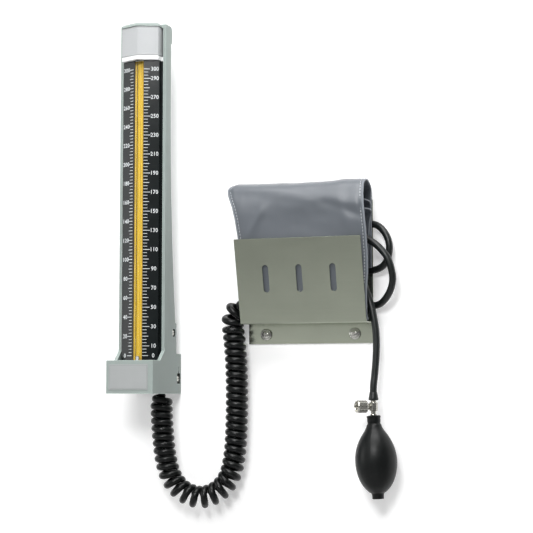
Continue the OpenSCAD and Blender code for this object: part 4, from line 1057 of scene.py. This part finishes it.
def cuff_shell():
    """The outer fold, with piping and a seam along both side edges."""
    profile, run = outer_profile(0.5, CUFF_Z + 0.6, CUFF_TOP + 0.3)

    def limited(x, z, front):
        """Wrinkles, kept small behind the pocket's panel and on the back."""
        h = wrinkle(x, z, front)
        if front and z < MOUTH_Z + 4:
            h = min(h * mix(0.35, 1, smooth((z - 118) / 20)), 0.35)
        if not front:
            h *= 0.3
        return h

    sheet, out = sheet_data(profile, run, left_edge, right_edge, SHELL_T, 100, limited)
    shell = piece("cuff_outer_look", sheet, MAT["cuff"], "cuff", ["cuff_outer"], "cuff_fabric", 50)
    inset, lift, radius = OUTER_PIPING
    for side, hand in ((-1, "left"), (1, "right")):
        line = edge_line(profile, out, left_edge, right_edge, side, inset, lift)
        tube("cuff_piping_" + hand, line, radius * MM, MAT["piping"], "cuff", 10,
                           slot="cuff_fabric")
        seam = edge_line(profile, out, left_edge, right_edge, side, *SEAM)
        add_object("cuff_stitches_" + hand, mesh_from("cuff_stitches", *stitches(seam)),
                                 MAT["thread"], "cuff", slot="cuff_fabric", shade=60)


FLAP_RIGHT = [(85, 228.4), (100, 230.4), (120, 231.8), (140, 232.6), (150, 233.2), (158, 235.4),
              (164, 236.2)]


def inner_fold(name, inset, top, back, low, flap, replaced=()):
    """A folded layer inside the outer one. Its rear leg reaches further right, by a table of [z, x]."""
    profile, run = inner_profile(inset, top, back, low)

    def left(d, z):
        return FOLD_LEFT

    def right(d, z):
        return mix(lookup(z, flap), FOLD_RIGHT, smooth((d - back - 6) / 12))

    def ripple(x, z, front):
        return 0.5 * noise.noise(Vector((x * 0.06, z * 0.05, 1.7)))

    sheet, out = sheet_data(profile, run, left, right, FOLD_T, 50, ripple, 1.2)
    fold = piece(name, sheet, MAT["cuff_inside"], "cuff", replaced, "cuff_fabric", 50)
    inset, lift, radius = INNER_PIPING
    line = edge_line(profile, out, left, right, 1, inset, lift)
    piping = tube(name + "_piping", line, radius * MM, MAT["piping"], "cuff", 8, slot="cuff_fabric")


cuff_shell()
inner_fold("cuff_fold_a", inset=3.0, top=172.5, back=12.4, low=104, flap=[(0, 234.2)],
           replaced=["cuff_inner"])
inner_fold("cuff_fold_b", inset=6.0, top=163.5, back=15.0, low=90, flap=FLAP_RIGHT)
dressed(MAT["port"], "cuff_bladder", "bulb_port")
dressed(MAT["pile"], "hook_patch")
dressed(MAT["plastic"], "hose_socket")
dressed(MAT["chrome"], "hose_plug", "inlet_valve", "inlet_ball")
dressed(MAT["brass"], "valve_needle")


# ---------------- stage and light

WALL_Y, STAGE_Z, STAGE_X = 0.0006, -0.7, 4    # in metres


def backdrop(name, verts, colour, glow):
    """A pale stage surface. It lifts itself towards white for the camera and keeps the set's shadow."""
    mesh = bpy.data.meshes.new(name)
    mesh.from_pydata(verts, [], [(0, 1, 2, 3)])
    obj = bpy.data.objects.new(name, mesh)
    bpy.context.scene.collection.objects.link(obj)
    g = Graph(name)
    g.set(Base_Color=(colour, colour, colour, 1), Roughness=0.9, Specular_IOR_Level=0.1)
    paths = g.node("ShaderNodeLightPath")
    direct = g.math("MAXIMUM", paths.outputs["Is Camera Ray"], paths.outputs["Is Glossy Ray"])
    seen = g.math("MAXIMUM", direct, paths.outputs["Is Transmission Ray"])
    emission = g.node("ShaderNodeEmission")
    g.link(g.math("MULTIPLY", seen, glow), emission.inputs["Strength"])
    add = g.node("ShaderNodeAddShader")
    g.link(g.shader.outputs[0], add.inputs[0])
    g.link(emission.outputs[0], add.inputs[1])
    facing = g.node("ShaderNodeNewGeometry")
    clear = g.node("ShaderNodeBsdfTransparent")
    choose = g.node("ShaderNodeMixShader")
    g.link(facing.outputs["Backfacing"], choose.inputs[0])
    g.link(add.outputs[0], choose.inputs[1])
    g.link(clear.outputs[0], choose.inputs[2])
    g.link(choose.outputs[0], g.tree.nodes["Material Output"].inputs["Surface"])
    mesh.materials.append(g.material)


backdrop("wall", [(-STAGE_X, WALL_Y, -1.0), (STAGE_X, WALL_Y, -1.0), (STAGE_X, WALL_Y, 3),
                  (-STAGE_X, WALL_Y, 3)], 0.86, 0.26)
backdrop("floor", [(-STAGE_X, -5, STAGE_Z), (STAGE_X, -5, STAGE_Z), (STAGE_X, WALL_Y, STAGE_Z),
                   (-STAGE_X, WALL_Y, STAGE_Z)], 0.5, 0.0)


def area_light(name, place, size, power):
    """A soft lamp that points at the middle of the set and doesn't show through the glass."""
    data = bpy.data.lights.new(name, "AREA")
    data.shape = "RECTANGLE"
    data.size, data.size_y = size
    data.energy = power
    obj = bpy.data.objects.new(name, data)
    obj.location = place
    obj.rotation_euler = (CENTRE - Vector(place)).to_track_quat("-Z", "Y").to_euler()
    obj.visible_transmission = False
    bpy.context.scene.collection.objects.link(obj)


CENTRE = Vector((0.11, 0, 0.1))
area_light("key", (0.34, -1.85, 0.98), (0.6, 0.5), 23.5)
area_light("top", (0.32, -0.75, 1.55), (1.5, 0.6), 26)
area_light("front_left", (-0.55, -1.7, 0.3), (1.1, 1.3), 2)
area_light("left", (-1.6, -0.9, 0.3), (0.7, 1.3), 8)

world = bpy.data.worlds.new("world")
bpy.context.scene.world = world
world.use_nodes = True
wt = world.node_tree
background = wt.nodes["Background"]
paths = wt.nodes.new("ShaderNodeLightPath")
where = wt.nodes.new("ShaderNodeTexCoord")
axes = wt.nodes.new("ShaderNodeSeparateXYZ")
wt.links.new(where.outputs["Generated"], axes.inputs["Vector"])


def world_math(kind, a, b=0.0):
    return math_node(wt, kind, a, b)


# The room is dim, brighter overhead and at the sides; the camera sees it white.
ROOM, ROOM_SIDES, ROOM_TOP = 0.11, 0.1, 0.08
sides = world_math("ABSOLUTE", axes.outputs["X"])
room = world_math("ADD", world_math("MULTIPLY", sides, ROOM_SIDES),
                  world_math("MULTIPLY", axes.outputs["Z"], ROOM_TOP))
room = world_math("ADD", room, ROOM)
direct = world_math("MAXIMUM", paths.outputs["Is Camera Ray"], paths.outputs["Is Transmission Ray"])
strength = world_math("ADD", world_math("MULTIPLY", room, world_math("SUBTRACT", 1.0, direct)), direct)
background.inputs["Color"].default_value = (1, 1, 1, 1)
wt.links.new(strength, background.inputs["Strength"])

bpy.context.scene.view_settings.view_transform = "Standard"
